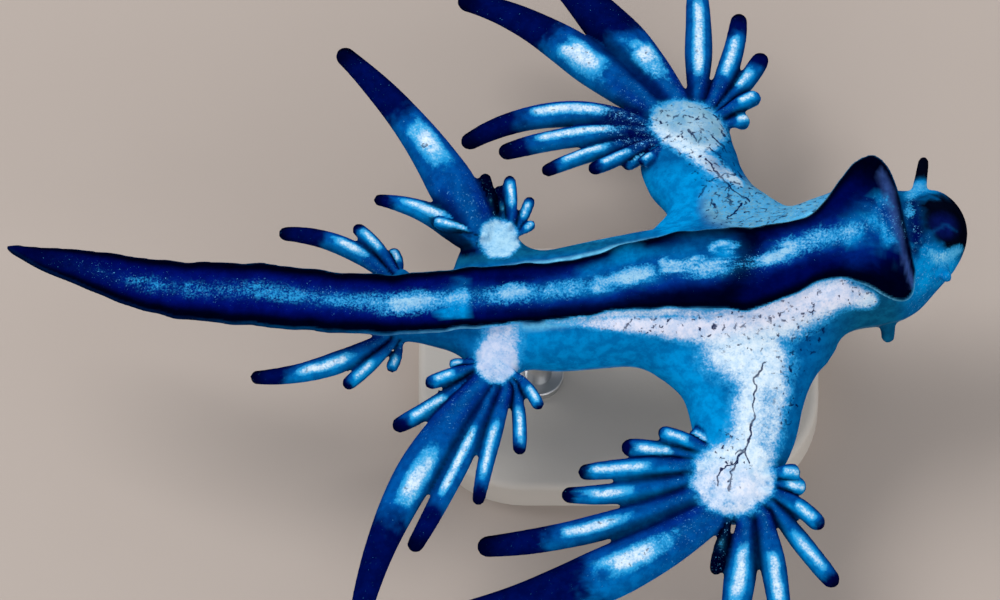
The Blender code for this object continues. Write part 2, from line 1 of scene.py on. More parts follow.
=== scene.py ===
from math import copysign, cos, pi, radians, sin, sqrt

import bmesh
import bpy
import numpy as np
from mathutils import Matrix, Vector
from mathutils.bvhtree import BVHTree


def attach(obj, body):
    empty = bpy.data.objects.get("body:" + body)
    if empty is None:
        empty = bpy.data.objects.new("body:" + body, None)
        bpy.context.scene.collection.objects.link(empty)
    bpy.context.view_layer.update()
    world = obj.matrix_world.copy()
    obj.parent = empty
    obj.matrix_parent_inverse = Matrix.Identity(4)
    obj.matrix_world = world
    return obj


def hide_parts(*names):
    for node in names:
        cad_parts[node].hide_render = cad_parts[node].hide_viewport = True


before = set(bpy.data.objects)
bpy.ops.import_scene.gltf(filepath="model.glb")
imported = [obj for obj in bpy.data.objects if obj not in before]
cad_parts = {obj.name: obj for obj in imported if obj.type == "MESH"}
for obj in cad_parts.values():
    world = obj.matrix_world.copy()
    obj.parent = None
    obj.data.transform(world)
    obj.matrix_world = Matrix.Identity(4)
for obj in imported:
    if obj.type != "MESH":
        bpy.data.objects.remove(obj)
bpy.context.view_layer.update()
print("solids loaded")

mm = 0.001
axisHeight = 7.5            # the body's long axis above the floor, mm
pixelsPerMm = 27.0
photoX, photoY = 620, 300       # the frame's X = 0 and Y = 0 in the photo's pixels
cameraLift = 65.0           # degrees above level

# Lengths below are millimetres until a finished skin is scaled down to metres.
trunkShape = {
    # X, the axis' Y, half width, top above and back below the axis plane
    "stations": (
        (-22.62, 2.15, 0.0, 0.0, 0.0),
        (-22.58, 2.15, 0.16, 0.10, 0.14),
        (-21.5, 1.63, 0.32, 0.20, 0.40),
        (-20.2, 1.24, 0.45, 0.32, 0.62),
        (-16.6, 0.20, 0.60, 0.50, 0.95),
        (-13.3, -0.07, 0.68, 0.60, 1.10),
        (-10.3, -0.43, 0.72, 0.72, 1.10),
        (-8.2, -0.54, 0.90, 0.85, 1.25),
        (-7.1, -0.56, 1.16, 1.00, 1.38),
        (-5.1, -0.45, 1.85, 1.40, 1.90),
        (-2.8, -0.40, 2.30, 1.80, 2.30),
        (-0.6, -0.12, 2.45, 2.10, 2.40),
        (1.7, 0.20, 2.60, 2.25, 2.50),
        (4.8, 0.37, 2.75, 2.35, 2.60),
        (7.4, 1.25, 2.80, 2.35, 2.60),
        (9.2, 1.85, 2.75, 2.30, 2.60),
        (10.2, 1.80, 2.50, 2.20, 2.45),
        (11.0, 2.00, 2.30, 2.05, 2.25),
        (11.9, 2.50, 1.80, 1.65, 1.75),
        (12.5, 2.64, 1.22, 1.15, 1.15),
        (12.8, 2.70, 0.66, 0.62, 0.62),
        (12.91, 2.72, 0.26, 0.24, 0.24),
        (12.93, 2.72, 0.0, 0.0, 0.0),
    ),
    "ends": 0.03,           # share of the length over which the rings close up
    "around": 48,
    "along": 150,
}

footShape = {
    # X and Y of the right edge, of the left edge, and the sole's height above the axis plane
    "stations": (
        (-22.80, 2.22, -22.80, 2.12, 0.20),
        (-21.5, 2.06, -21.5, 1.20, 0.35),
        (-20.2, 1.92, -20.2, 0.54, 0.50),
        (-18.5, 1.66, -18.5, -0.28, 0.60),
        (-16.6, 1.35, -16.6, -0.92, 0.70),
        (-13.3, 1.20, -13.3, -1.35, 0.80),
        (-10.3, 0.80, -10.3, -1.65, 0.90),
        (-8.2, 0.68, -8.2, -1.77, 1.00),
        (-5.1, 0.76, -5.1, -1.72, 1.50),
        (-2.1, 0.78, -2.1, -1.64, 1.90),
        (0.3, 1.40, 0.3, -1.36, 2.15),
        (2.6, 1.88, 2.6, -1.33, 2.25),
        (4.9, 2.04, 4.5, -1.45, 2.27),
        (6.6, 2.32, 6.0, -0.98, 2.30),
        (7.5, 2.98, 7.2, -0.36, 2.30),
        (8.15, 3.98, 8.1, -0.12, 2.30),
        (8.7, 4.68, 8.9, -0.32, 2.30),
        (9.3, 4.97, 9.7, -0.82, 2.30),
        (9.9, 4.48, 10.4, -1.02, 2.28),
        (10.35, 3.28, 10.8, -0.66, 2.25),
        (10.5, 2.50, 10.9, 0.20, 2.22),
    ),
    "thick": 0.72,          # at the middle of the sole
    "edgeThick": 0.42,
    "wave": 0.045,          # along the edges
    "square": 0.55,         # power of the section: 1 is an oval, 0 a rectangle
    "tailEnd": 0.02,        # shares of the length that close up
    "headEnd": 0.012,
    "around": 40,
    "along": 200,
}

# Arms: out from the axis, the middle along X, half width, thickness above and below
frontArmLeft = (
    (0.6, 4.2, 4.30, 1.50, 1.60), (2.3, 4.1, 3.95, 1.50, 1.60), (2.9, 4.15, 3.35, 1.45, 1.50),
    (3.45, 4.40, 2.70, 1.35, 1.40), (4.1, 4.60, 2.25, 1.25, 1.30), (5.2, 4.62, 1.98, 1.12, 1.15),
    (6.3, 4.45, 1.78, 1.05, 1.00))
frontArmRight = (
    (0.6, 4.6, 4.30, 1.50, 1.60), (2.3, 4.5, 3.80, 1.50, 1.60), (2.9, 4.35, 3.20, 1.45, 1.50),
    (3.5, 4.25, 2.55, 1.35, 1.40), (4.1, 3.80, 2.12, 1.25, 1.30), (5.0, 3.05, 1.98, 1.12, 1.15),
    (6.3, 2.65, 1.85, 1.05, 1.00))
middleArmLeft = ((0.5, -4.45, 2.10, 0.85, 0.95), (1.5, -4.45, 1.85, 0.80, 0.90),
                 (2.0, -4.50, 1.35, 0.78, 0.85))
middleArmRight = ((0.5, -4.35, 2.20, 0.85, 0.95), (1.5, -4.35, 2.05, 0.80, 0.90),
                  (2.1, -4.40, 1.78, 0.76, 0.85), (2.7, -4.50, 1.46, 0.70, 0.80))
rearArm = ((0.1, -8.0, 0.75, 0.30, 0.55),)

# The fans. A ceras is: place round the palm, heading, bend (degrees), length, width (mm), and
# for some how late the bend comes, its kind (0 short, 1 long, 2 broad based), and how far it
# is above the others.
fanShapes = {
    "frontRight": dict(
        side=1, droop=14, axisY=0.28, reach=7.26, along=2.70, palm=1.55, rim=1.72, rise=0.6,
        top=1.10, bottom=0.90, arm=frontArmRight, cerata=(
            (143, 152, 17, 9.3, 1.56, 3.0, 1.0), (112, 125, 2, 9.3, 1.72),
            (170, 188, 33, 7.3, 1.00, 1.0, 0.6), (181, 191, 12, 5.6, 0.82, 1.0, 0.3),
            (191, 202, 9, 4.2, 0.62), (201, 211, -5, 2.6, 0.54), (210, 216, 0, 1.3, 0.46),
            (219, 225, 0, 0.8, 0.40), (82, 89.5, 3, 5.6, 0.97, 1.0, 0.4), (61, 76, 11, 4.35, 0.76),
            (49, 58, 11, 3.1, 0.66), (35, 32, 0, 1.4, 0.62), (19, 10, 0, 0.6, 0.62))),
    "frontLeft": dict(
        side=-1, droop=14, axisY=0.34, reach=7.26, along=4.19, palm=1.48, rim=1.68, rise=0.6,
        top=1.10, bottom=0.90, arm=frontArmLeft, cerata=(
            (125, 160.1, 14, 12.0, 1.82), (162, 166.2, 10, 8.15, 0.94, 1.0, 0.3),
            (184, 172.8, 10, 4.75, 0.80), (201.5, 175.8, -3, 4.2, 0.70),
            (214.5, 187.5, -4, 2.8, 0.66), (228, 200, -7, 1.8, 0.52), (240, 211, -4, 0.9, 0.44),
            (99, 104, -4, 1.9, 0.48), (75, 98, 2, 4.6, 1.10), (51, 81, 4, 4.5, 0.89),
            (32, 52, -1, 3.8, 0.70), (17, 38, 13, 2.1, 0.60), (2, 10, 3, 1.0, 0.62),
            (-12, 2, 0, 0.8, 0.58))),
    "middleRight": dict(
        side=1, droop=2, axisY=-0.45, reach=2.60, along=-4.52, palm=0.92, rim=1.02, rise=0.4,
        top=0.75, bottom=0.70, arm=middleArmRight, cerata=(
            (147, 124, 12, 9.2, 1.45, 1.0, 2.0), (172, 155, 19, 4.05, 0.90, 1.0, 2.0, 0.05),
            (165, 162, 3, 1.5, 0.46, 1.0, 0.0, 0.42),
            (96, 102, -5, 1.9, 0.44), (78, 95, -2, 1.5, 0.42), (60, 93, 4, 1.9, 0.44),
            (42, 70, 1, 1.4, 0.40), (25, 45, 0, 0.6, 0.36))),
    "middleLeft": dict(
        side=-1, droop=2, axisY=-0.45, reach=2.30, along=-4.55, palm=0.92, rim=1.10, rise=0.4,
        top=0.75, bottom=0.70, arm=middleArmLeft, cerata=(
            (125, 114.2, -16, 11.3, 1.36), (99, 115, 3, 7.0, 0.76, 1.0, 0.35),
            (149, 146, 6, 3.5, 0.62), (167, 158, -3, 1.7, 0.52), (186, 172, 0, 0.7, 0.40),
            (72, 103, -4, 4.7, 0.64), (52, 87, 6, 2.7, 0.50), (35, 60, 5, 1.4, 0.44))),
    "rearRight": dict(
        side=1, droop=8, axisY=-0.54, reach=1.35, along=-8.10, palm=0.62, rim=0.66, rise=-0.05,
        top=0.40, bottom=0.50, arm=rearArm, cerata=(
            (146, 155, 26, 4.6, 0.72), (120, 127, 10, 2.4, 0.50), (95, 110, 10, 1.0, 0.44))),
    "rearLeft": dict(
        side=-1, droop=18, axisY=-0.54, reach=0.62, along=-8.10, palm=0.62, rim=0.74, rise=-0.05,
        top=0.40, bottom=0.50, arm=rearArm, cerata=(
            (152, 164, 17, 5.2, 0.78), (124, 138, 3, 2.3, 0.50), (94, 115, 0, 0.9, 0.42))),
}

cerasShape = {
    # share of the length, width as a share of the greatest: long tapered ones, short blunt ones
    "longProfile": ((0.0, 0.62), (0.18, 0.87), (0.36, 1.0), (0.50, 0.91), (0.64, 0.76),
                    (0.78, 0.63), (0.92, 0.50), (1.0, 0.43)),
    "shortProfile": ((0.0, 0.60), (0.2, 0.82), (0.5, 1.0), (0.75, 1.0), (1.0, 0.82)),
    "broadProfile": ((0.0, 1.0), (0.1, 1.12), (0.22, 1.12), (0.34, 1.02), (0.46, 0.90),
                     (0.6, 0.77), (0.75, 0.65), (0.9, 0.5), (1.0, 0.42)),
    "longFrom": 6.5,        # length above which a ceras is fully of the long kind
    "shortTo": 3.0,
    "flatness": 0.78,
    "root": 0.55,           # how far a root runs into the palm
    "plump": 1.12,          # makes up for what the smoothing takes
    "stagger": 0.11,        # short ones stand higher and lower by turns
    "evenFrom": 7.0,        # length from which they don't
    "around": 20,
    "along": 40,
}

feelerShapes = (
    # place along X, degrees round the body, lean forward, length outside the skin, width
    (11.12, 25, 0.15, 1.27, 0.54),      # oral tentacles, right and left
    (12.0, 160, 0.30, 0.50, 0.50),
    (9.95, 205, 0.0, 0.66, 0.64),       # rhinophores, left and right
    (9.95, -25, 0.0, 0.66, 0.58),
)
# share of the length, width as a share of the given one
feelerProfile = ((0.0, 1.1), (0.35, 1.08), (0.5, 0.95), (0.7, 0.84), (0.88, 0.76), (0.96, 0.52),
                 (0.99, 0.28), (1.0, 0.0))

mouthShape = {"x": 11.85, "y": 2.10, "radius": 0.45, "thick": 0.12, "slope": 0.55, "sunk": 0.07}

cerasMarks = {
    # crest patch (pale pigment with a painted highlight) from and to, dark tip from, as shares of
    # a ceras' length; dark all over; and for some how far the crest is to one side, and how broad
    # it is
    "frontRight": {0: (0.27, 0.48, 0.54, 0, 0.34, 1.35), 1: (0.12, 0.29, 0.34, 0, -0.06, 1.35),
                   2: (0.20, 0.62, 0.66, 0), 3: (0.22, 0.74, 0.78, 0), 8: (0.16, 0.82, 0.86, 0),
                   9: (0.28, 0.71, 0.75, 0), 10: (0.30, 0.68, 0.72, 0)},
    "frontLeft": {0: (0.16, 0.37, 0.41, 0), 1: (0.32, 0.60, 0.66, 0), 2: (0.45, 0.82, 0.88, 0),
                  3: (0.38, 0.84, 0.88, 0), 7: (0.3, 0.5, 0.6, 1), 8: (0.22, 0.62, 0.74, 0)},
    "middleRight": {0: (0.31, 0.53, 0.575, 0, 0.0, 1.3), 1: (0.25, 0.72, 0.80, 0),
                    2: (0.10, 0.88, 0.95, 0), 3: (0.3, 0.4, 0.5, 1), 4: (0.3, 0.4, 0.5, 0.8)},
    "middleLeft": {0: (0.31, 0.52, 0.56, 0, -0.24, 1.15), 1: (0.25, 0.66, 0.72, 0)},
    "rearRight": {0: (0.25, 0.55, 0.60, 0)},
    "rearLeft": {0: (0.25, 0.68, 0.72, 0)},
    "others": (0.34, 0.80, 0.85, 0),
}

skinShape = {
    "coreVoxel": 0.17,      # trunk and arms, before the fillets
    "voxel": 0.086,         # the whole skin
    "faces": 194000,        # triangles kept
    # distance from a meeting of forms (mm), passes of smoothing within it
    "fillets": ((1.15, 8), (0.8, 12), (0.5, 14), (0.3, 8)),
    "smoothing": (4, 0.6),  # passes and strength, over the whole skin
}

standShape = {
    "length": 15.0, "depth": 10.0, "thick": 1.6, "corner": 4.0, "edge": 0.3,
    "rodWidth": 1.0, "rods": (4.2, -3.0), "collarWidth": 1.9, "collarHeight": 0.35,
    "rodSunk": 0.05, "rodIn": 0.25, "rodEdge": 0.08,    # into the base, into the back, bevel
}


def softStep(low, high, value):
    t = np.clip((value - low) / (high - low), 0.0, 1.0)
    return t * t * (3 - 2 * t)


def mixed(a, b, share):     # of two values or two colours
    if np.shape(b)[-1:] == (3,):
        share = share[:, None]
    return a * (1 - share) + b * share


def slopes(xs, ys):     # of a curve that never overshoots its points
    step = np.diff(ys) / np.diff(xs)
    out = np.zeros(len(xs))
    out[0], out[-1] = step[0], step[-1]
    for k in range(1, len(xs) - 1):
        if step[k - 1] * step[k] > 0:
            out[k] = 2 * step[k - 1] * step[k] / (step[k - 1] + step[k])
    return out


def fineTable(rows, parts=16):
    table = np.array(rows, dtype=float)
    xs = table[:, 0]
    fine = np.concatenate([np.linspace(a, b, parts, endpoint=False)
                           for a, b in zip(xs, xs[1:])] + [xs[-1:]])
    columns = [fine]
    for c in range(1, table.shape[1]):
        ys, tilt = table[:, c], slopes(xs, table[:, c])
        i = np.clip(np.searchsorted(xs, fine, side="right") - 1, 0, len(xs) - 2)
        h = xs[i + 1] - xs[i]
        t = (fine - xs[i]) / h
        columns.append(ys[i] * (1 + 2 * t) * (1 - t) ** 2 + ys[i + 1] * t * t * (3 - 2 * t)
                       + tilt[i] * h * t * (1 - t) ** 2 - tilt[i + 1] * h * t * t * (1 - t))
    return np.array(columns)


def read(table, x):
    return [np.interp(x, table[0], column) for column in table[1:]]


def sceneObject(name, data):
    made = bpy.data.objects.new(name, data)
    bpy.context.scene.collection.objects.link(made)
    return made


def meshFrom(bm, name):     # with its faces turned outward
    bm.normal_update()
    bmesh.ops.recalc_face_normals(bm, faces=bm.faces)
    mesh = bpy.data.meshes.new(name)
    bm.to_mesh(mesh)
    bm.free()
    return mesh


def joinedForms(meshes):
    bm = bmesh.new()
    for mesh in meshes:
        bm.from_mesh(mesh)
    return bm


def wrappedGrid(around, along, place):      # a grid rolled into a closed form
    bm = bmesh.new()
    bmesh.ops.create_grid(bm, x_segments=around, y_segments=along, size=1.0)
    for vert in bm.verts:
        vert.co = place((vert.co.x + 1) / 2, (vert.co.y + 1) / 2)
    bmesh.ops.remove_doubles(bm, verts=bm.verts, dist=1e-5)
    bmesh.ops.dissolve_degenerate(bm, dist=1e-6, edges=bm.edges)
    return meshFrom(bm, "form")


def withModifier(mesh, kind, **values):
    holder = sceneObject("holder", mesh)
    step = holder.modifiers.new("step", kind)
    for key, value in values.items():
        setattr(step, key, value)
    bpy.context.view_layer.update()
    seen = holder.evaluated_get(bpy.context.evaluated_depsgraph_get())
    out = bpy.data.meshes.new_from_object(seen)
    bpy.data.objects.remove(holder, do_unlink=True)
    return out


def fused(meshes, voxel):       # forms into one closed skin
    out = bpy.data.meshes.new("fused")
    bm = joinedForms(meshes)
    bm.to_mesh(out)
    bm.free()
    return withModifier(out, "REMESH", mode="VOXEL", voxel_size=voxel, adaptivity=0.0)


def vectorsOf(items, name):
    out = np.empty(len(items) * 3)
    items.foreach_get(name, out)
    return out.reshape(-1, 3)


class Fan:      # the tilted plane of one arm: u along +X, v outward, w towards the sole
    def __init__(self, shape):
        self.shape = shape
        lean, side = radians(shape["droop"]), shape["side"]
        self.start = Vector((0, shape["axisY"], axisHeight))
        self.out = Vector((0, side * cos(lean), -sin(lean)))
        self.up = Vector((0, side * sin(lean), cos(lean)))

    def place(self, u, v, w):
        return self.start + Vector((u, 0, 0)) + self.out * v + self.up * w

    def inside(self, points):       # numpy points to the fan's own u, v, w
        local = points - np.array(self.start)
        return np.stack([local[:, 0], local @ np.array(self.out), local @ np.array(self.up)], 1)


trunkTable = fineTable(trunkShape["stations"])


def onTrunk(x, turn, deep=0.0):     # a place on the trunk's surface, or inside it
    y, half, top, back = read(trunkTable, x)
    rise = top if sin(turn) > 0 else back
    return Vector((x, y + (half - deep) * cos(turn), axisHeight + (rise - deep) * sin(turn)))


def trunkPoint(u, v):
    xs = trunkTable[0]
    x = xs[0] + (xs[-1] - xs[0]) * v
    edge, ends = min(v, 1 - v), trunkShape["ends"]
    if edge < ends:        # rings draw together at the two ends
        bend = ends * (1 - cos(edge / ends * pi / 2))
        x = xs[0] + (xs[-1] - xs[0]) * (bend if v < 0.5 else 1 - bend)
    return onTrunk(x, 2 * pi * u)


footTable = fineTable([(i, *row) for i, row in enumerate(footShape["stations"])])
for side, x, y in ((1, footTable[1], footTable[2]), (2, footTable[3], footTable[4])):
    wave = np.sin(x * 3.3 + side) * 0.6 + np.sin(x * 5.7 + side * 2.1) * 0.4
    y += footShape["wave"] * wave * softStep(-21.0, -17.0, x)


def footPoint(u, v):
    last = footTable[0][-1]
    xr, yr, xl, yl, high = read(footTable, v * last)
    turn = 2 * pi * u
    c, s = cos(turn), sin(turn)
    across = copysign(abs(c) ** footShape["square"], c)
    deep = copysign(abs(s) ** footShape["square"], s)
    share = (across + 1) / 2
    middle = footShape["thick"] * min(1.0, 0.72 + v * 0.6)
    thick = footShape["edgeThick"] + (middle - footShape["edgeThick"]) * sin(pi * share)
    end = min(v / footShape["tailEnd"], (1 - v) / footShape["headEnd"], 1.0)
    thick *= sqrt(max(0.0, 1 - (1 - end) ** 2))
    level = high - thick / 2 + deep * thick / 2 - (1 - end) * 0.1
    return Vector((xl + (xr - xl) * share, yl + (yr - yl) * share, axisHeight + level))


def armMesh(fan):
    shape = fan.shape
    rows = list(shape["arm"])
    for turn in (0, 15, 30, 45, 58, 70, 80, 87, 90):
        swing = radians(turn)
        fall = 0.35 + 0.65 * cos(swing) if turn < 90 else 0.0
        rows.append((shape["reach"] + shape["palm"] * sin(swing), shape["along"],
                     shape["palm"] * cos(swing), shape["top"] * fall,
                     shape["bottom"] * fall))
    rows.insert(0, (rows[0][0] - 0.01, rows[0][1], 0.0, 0.0, 0.0))
    table = fineTable(rows, 8)
    count = table.shape[1] - 1

    def place(u, v):
        k = v * count
        i = min(int(k), count - 1)
        out, middle, half, up, down = table[:, i] * (1 - k + i) + table[:, i + 1] * (k - i)
        turn = 2 * pi * u
        rise = up if sin(turn) > 0 else down
        return fan.place(middle + half * cos(turn), out, rise * sin(turn))

    return wrappedGrid(32, count, place)


def cerasLine(fan, row):        # its middle line in the fan: place, heading, half width, share
    around, heading, bend, length, width = row[:5]
    width *= cerasShape["plump"]
    shape = fan.shape
    turn = radians(around)
    centre = Vector((shape["along"], shape["reach"]))
    out = Vector((cos(turn), sin(turn)))
    late = row[5] if len(row) > 5 else 1.0
    kind = row[6] if len(row) > 5 else float(softStep(cerasShape["shortTo"],
                                                      cerasShape["longFrom"], length))
    profiles = [fineTable(cerasShape[name]) for name in ("shortProfile", "longProfile",
                                                         "broadProfile")]
    root = centre + out * (shape["palm"] - cerasShape["root"])
    spots = [(root, turn, 0.0, -0.12), (root, turn, width * 0.26, -0.119)]
    pen, last = centre + out * shape["rim"], 0.0
    first, sweep = radians(heading - bend), radians(2 * bend)
    end = width / 2 * np.interp(kind, (0, 1, 2), [profile[1][-1] for profile in profiles])
    steps = cerasShape["along"]
    for k in range(steps + 1):
        share = sin(k / steps * pi / 2)
        middle = first + sweep * ((share + last) / 2) ** late
        pen = pen + Vector((cos(middle), sin(middle))) * (share - last) * length
        last = share
        size = np.interp(kind, (0, 1, 2), [read(profile, share)[0] for profile in profiles])
        cap = sqrt(max(0.0, 1 - max(0.0, 1 - (1 - share) * length / end) ** 2))
        spots.append((pen.copy(), first + sweep * share ** late, width * size / 2 * cap, share))
    return spots


def cerasRise(fan, order, row):
    if len(row) > 7:
        return fan.shape["rise"] + row[7]
    long = float(softStep(cerasShape["shortTo"], cerasShape["evenFrom"], row[3]))
    step = cerasShape["stagger"] * (1 - long)
    return fan.shape["rise"] + (step if order % 2 else -step)


def cerasMesh(fan, order, row):
    spots = cerasLine(fan, row)
    rise = cerasRise(fan, order, row)

    def place(u, v):
        spot, angle, half, share = spots[round(v * (len(spots) - 1))]
        turn = 2 * pi * u
        side = Vector((-sin(angle), cos(angle)))
        flat = spot + side * half * cos(turn)
        return fan.place(flat.x, flat.y, rise + half * cerasShape["flatness"] * sin(turn))

    return wrappedGrid(cerasShape["around"], len(spots) - 1, place)


def feelerMesh(x, angle, lean, length, width):
    skin = onTrunk(x, radians(angle))
    out = (skin - onTrunk(x, radians(angle), 1)).normalized()
    line = (out + Vector((lean, 0, 0))).normalized()
    root, tip = skin - line * 0.8, skin + line * length
    side = line.orthogonal().normalized()
    other = line.cross(side)
    profile = fineTable(feelerProfile)

    def place(u, v):
        turn = 2 * pi * u
        share = sin(v * pi / 2)
        size = read(profile, share)[0] * width / 2 if v > 0 else 0.0
        return root.lerp(tip, share) + (side * cos(turn) + other * sin(turn)) * size

    return wrappedGrid(16, 24, place)


def lipMesh():
    y, half, top, back = read(trunkTable, mouthShape["x"])
    rise = top * sqrt(max(0.0, 1 - ((mouthShape["y"] - y) / half) ** 2))
    bm = bmesh.new()
    bmesh.ops.create_circle(bm, segments=10, radius=mouthShape["thick"])
    bmesh.ops.rotate(bm, verts=bm.verts, cent=(0, 0, 0),
                     matrix=Matrix.Rotation(radians(90), 3, "X"))
    bmesh.ops.translate(bm, verts=bm.verts, vec=(mouthShape["radius"], 0, 0))
    bmesh.ops.spin(bm, geom=bm.verts[:] + bm.edges[:], cent=(0, 0, 0), axis=(0, 0, 1),
                   angle=2 * pi, steps=36, use_merge=True)
    for vert in bm.verts:
        vert.co.z -= mouthShape["slope"] * vert.co.x
    bmesh.ops.translate(bm, verts=bm.verts, vec=(mouthShape["x"], mouthShape["y"],
                                                 axisHeight + rise - mouthShape["sunk"]))
    return meshFrom(bm, "lips")


def filleted(mesh, partsA, partsB):     # smooths the skin where two sets of forms meet
    bm = bmesh.new()
    bm.from_mesh(mesh)
    trees = [BVHTree.FromBMesh(joinedForms(group)) for group in (partsA, partsB)]
    far = {vert: max(tree.find_nearest(vert.co)[3] for tree in trees) for vert in bm.verts}
    for reach, passes in skinShape["fillets"]:
        near = [vert for vert in bm.verts if far[vert] < reach]
        for turn in range(passes):
            bmesh.ops.smooth_vert(bm, verts=near, factor=0.5, use_axis_x=True, use_axis_y=True,
                                  use_axis_z=True)
    bm.to_mesh(mesh)
    bm.free()
    return mesh


fans = {name: Fan(shape) for name, shape in fanShapes.items()}
trunk = wrappedGrid(trunkShape["around"], trunkShape["along"], trunkPoint)
arms = [armMesh(fan) for fan in fans.values()]
core = filleted(fused([trunk] + arms, skinShape["coreVoxel"]), [trunk], arms)
print("trunk and arms", len(core.polygons))

foot = wrappedGrid(footShape["around"], footShape["along"], footPoint)
cerata = [cerasMesh(fan, order, row) for fan in fans.values()
          for order, row in enumerate(fan.shape["cerata"])]
feelers = [feelerMesh(*row) for row in feelerShapes]
whole = fused([core, foot, lipMesh()] + cerata + feelers, skinShape["voxel"])
print("whole skin", len(whole.polygons), "faces,", len(cerata), "cerata")


def smoothed(mesh, passes, factor):
    points = vectorsOf(mesh.vertices, "co")
    count = len(points)
    ends = np.empty(len(mesh.edges) * 2, dtype=np.int64)
    mesh.edges.foreach_get("vertices", ends)
    a, b = ends[::2], ends[1::2]
    degree = np.bincount(ends, minlength=count)[:, None]
    for turn in range(passes):
        for amount in (factor, -factor * 1.03):     # out and back, so nothing shrinks
            total = np.zeros_like(points)
            for axis in range(3):
                total[:, axis] = (np.bincount(a, points[b, axis], count)
                                  + np.bincount(b, points[a, axis], count))
            points = points + (total / degree - points) * amount
    mesh.vertices.foreach_set("co", points.ravel())
    mesh.update()
    return mesh


def withoutCrumbs(mesh):        # the voxels leave a few loose grains between close forms
    bm = bmesh.new()
    bm.from_mesh(mesh)
    unseen = set(bm.verts)
    islands = []
    while unseen:
        island = [unseen.pop()]
        for vert in island:
            for edge in vert.link_edges:
                other = edge.other_vert(vert)
                if other in unseen:
                    unseen.remove(other)
                    island.append(other)
        islands.append(island)
    islands.sort(key=len)
    crumbs = [vert for island in islands[:-1] for vert in island]
    bmesh.ops.delete(bm, geom=crumbs, context="VERTS")
    bm.to_mesh(mesh)
    bm.free()
    return mesh


whole = smoothed(whole, *skinShape["smoothing"])
triangles = 2 * len(whole.polygons)
if triangles > skinShape["faces"]:
    whole = withModifier(whole, "DECIMATE", decimate_type="COLLAPSE",
                         ratio=skinShape["faces"] / triangles, use_collapse_triangulate=True)
whole = withoutCrumbs(whole)
print("skin has", len(whole.polygons), "faces")

# Every vertex's place, normal, and place in the picture plane
count = len(whole.vertices)
points, normals = vectorsOf(whole.vertices, "co"), vectorsOf(whole.vertex_normals, "vector")
lengthways, sideways, upward = points.T
lift = radians(cameraLift)
eye = np.array((0, -cos(lift), sin(lift)))
seenX = photoX + pixelsPerMm * lengthways
seenY = photoY - pixelsPerMm * (sideways * sin(lift) + (upward - axisHeight) * cos(lift))
facing = normals @ eye


def grain(scale, seed=0):       # smooth noise from -1 to 1, features of about scale mm
    cells = points / scale + seed * 17.31
    low = np.floor(cells).astype(np.int64)
    t = cells - low
    t = t * t * (3 - 2 * t)
    out = np.zeros(count)
    for corner in np.ndindex(2, 2, 2):
        key = np.bitwise_xor.reduce((low + corner) * (73856093, 19349663, 83492791), axis=1)
        value = (((key & 0xffffff) * 2654435761) & 0xffffffff) / 0xffffffff * 2 - 1
        out += value * np.prod(np.where(corner, t, 1 - t), axis=1)
    return out


def stroke(spots, soft=0.5, wobble=0.0):
    # a soft brush line through (x, y, half width) in the photo's pixels
    field = np.zeros(count)
    for (ax, ay, aw), (bx, by, bw) in zip(spots, spots[1:]):
        dx, dy = bx - ax, by - ay
        t = np.clip(((seenX - ax) * dx + (seenY - ay) * dy) / (dx * dx + dy * dy + 1e-9), 0, 1)
        away = np.hypot(seenX - ax - t * dx, seenY - ay - t * dy)
        wide = (aw + (bw - aw) * t) * (1 + wobble)
        field = np.maximum(field, 1 - softStep(wide * (1 - soft), wide * (1 + soft), away))
    return field


def spot(x, y, wide, high, turn=0.0, soft=0.3, wobble=0.0):
    # a soft oval in the photo's pixels, turned in degrees
    c, s = cos(radians(turn)), sin(radians(turn))
    u = ((seenX - x) * c + (seenY - y) * s) / wide
    v = (-(seenX - x) * s + (seenY - y) * c) / high
    return 1 - softStep(1 - soft, 1 + soft, np.hypot(u, v) * (1 + wobble))


def within(value, low, high, soft):
    return softStep(low - soft, low + soft, value) * softStep(high + soft, high - soft, value)


def tone(r, g, b):      # a screen colour as linear light
    c = np.array((r, g, b)) / 255.0
    return np.where(c < 0.04045, c / 12.92, ((c + 0.055) / 1.055) ** 2.4)


skinTones = {name: tone(*screen) for name, screen in {
    "azure": (0, 136, 206), "azureDeep": (2, 94, 158), "teal": (10, 84, 118),
    "royal": (1, 38, 124), "navy": (0, 10, 74), "soleBlue": (0, 6, 70), "soleTail": (1, 11, 94),
    "ink": (0, 1, 18), "mouth": (2, 5, 20), "capBlue": (8, 22, 92), "cerasBlue": (1, 78, 154),
    "cyan": (80, 185, 232), "paleCyan": (150, 214, 244), "rimCyan": (108, 196, 236),
    "greyCyan": (104, 160, 188), "white": (222, 240, 254), "pink": (228, 230, 250),
    "lilac": (196, 206, 234), "silver": (150, 198, 228), "backSilver": (150, 170, 184),
    "slate": (96, 124, 158), "steel": (46, 70, 128),
}.items()}


class Layer:        # a colour or a value for every vertex, built up step by step
    def __init__(self, start):
        self.now = (np.tile(skinTones[start], (count, 1)) if isinstance(start, str)
                    else np.full(count, start))

    def mix(self, other, share):
        self.now = mixed(self.now, skinTones[other] if isinstance(other, str) else other, share)

    def lay(self, colour, share):
        self.mix(colour, np.clip(share, 0, 1))

    def brush(self, colour, spots, soft, share=1.0):
        self.lay(colour, stroke(spots, soft) * share)

    def dab(self, colour, oval, share=1.0):
        self.lay(colour, spot(*oval) * share)

    def reach(self, *fields):
        self.now = np.maximum.reduce([self.now, *fields])

    def fade(self, share):
        self.now = self.now * (1 - share)


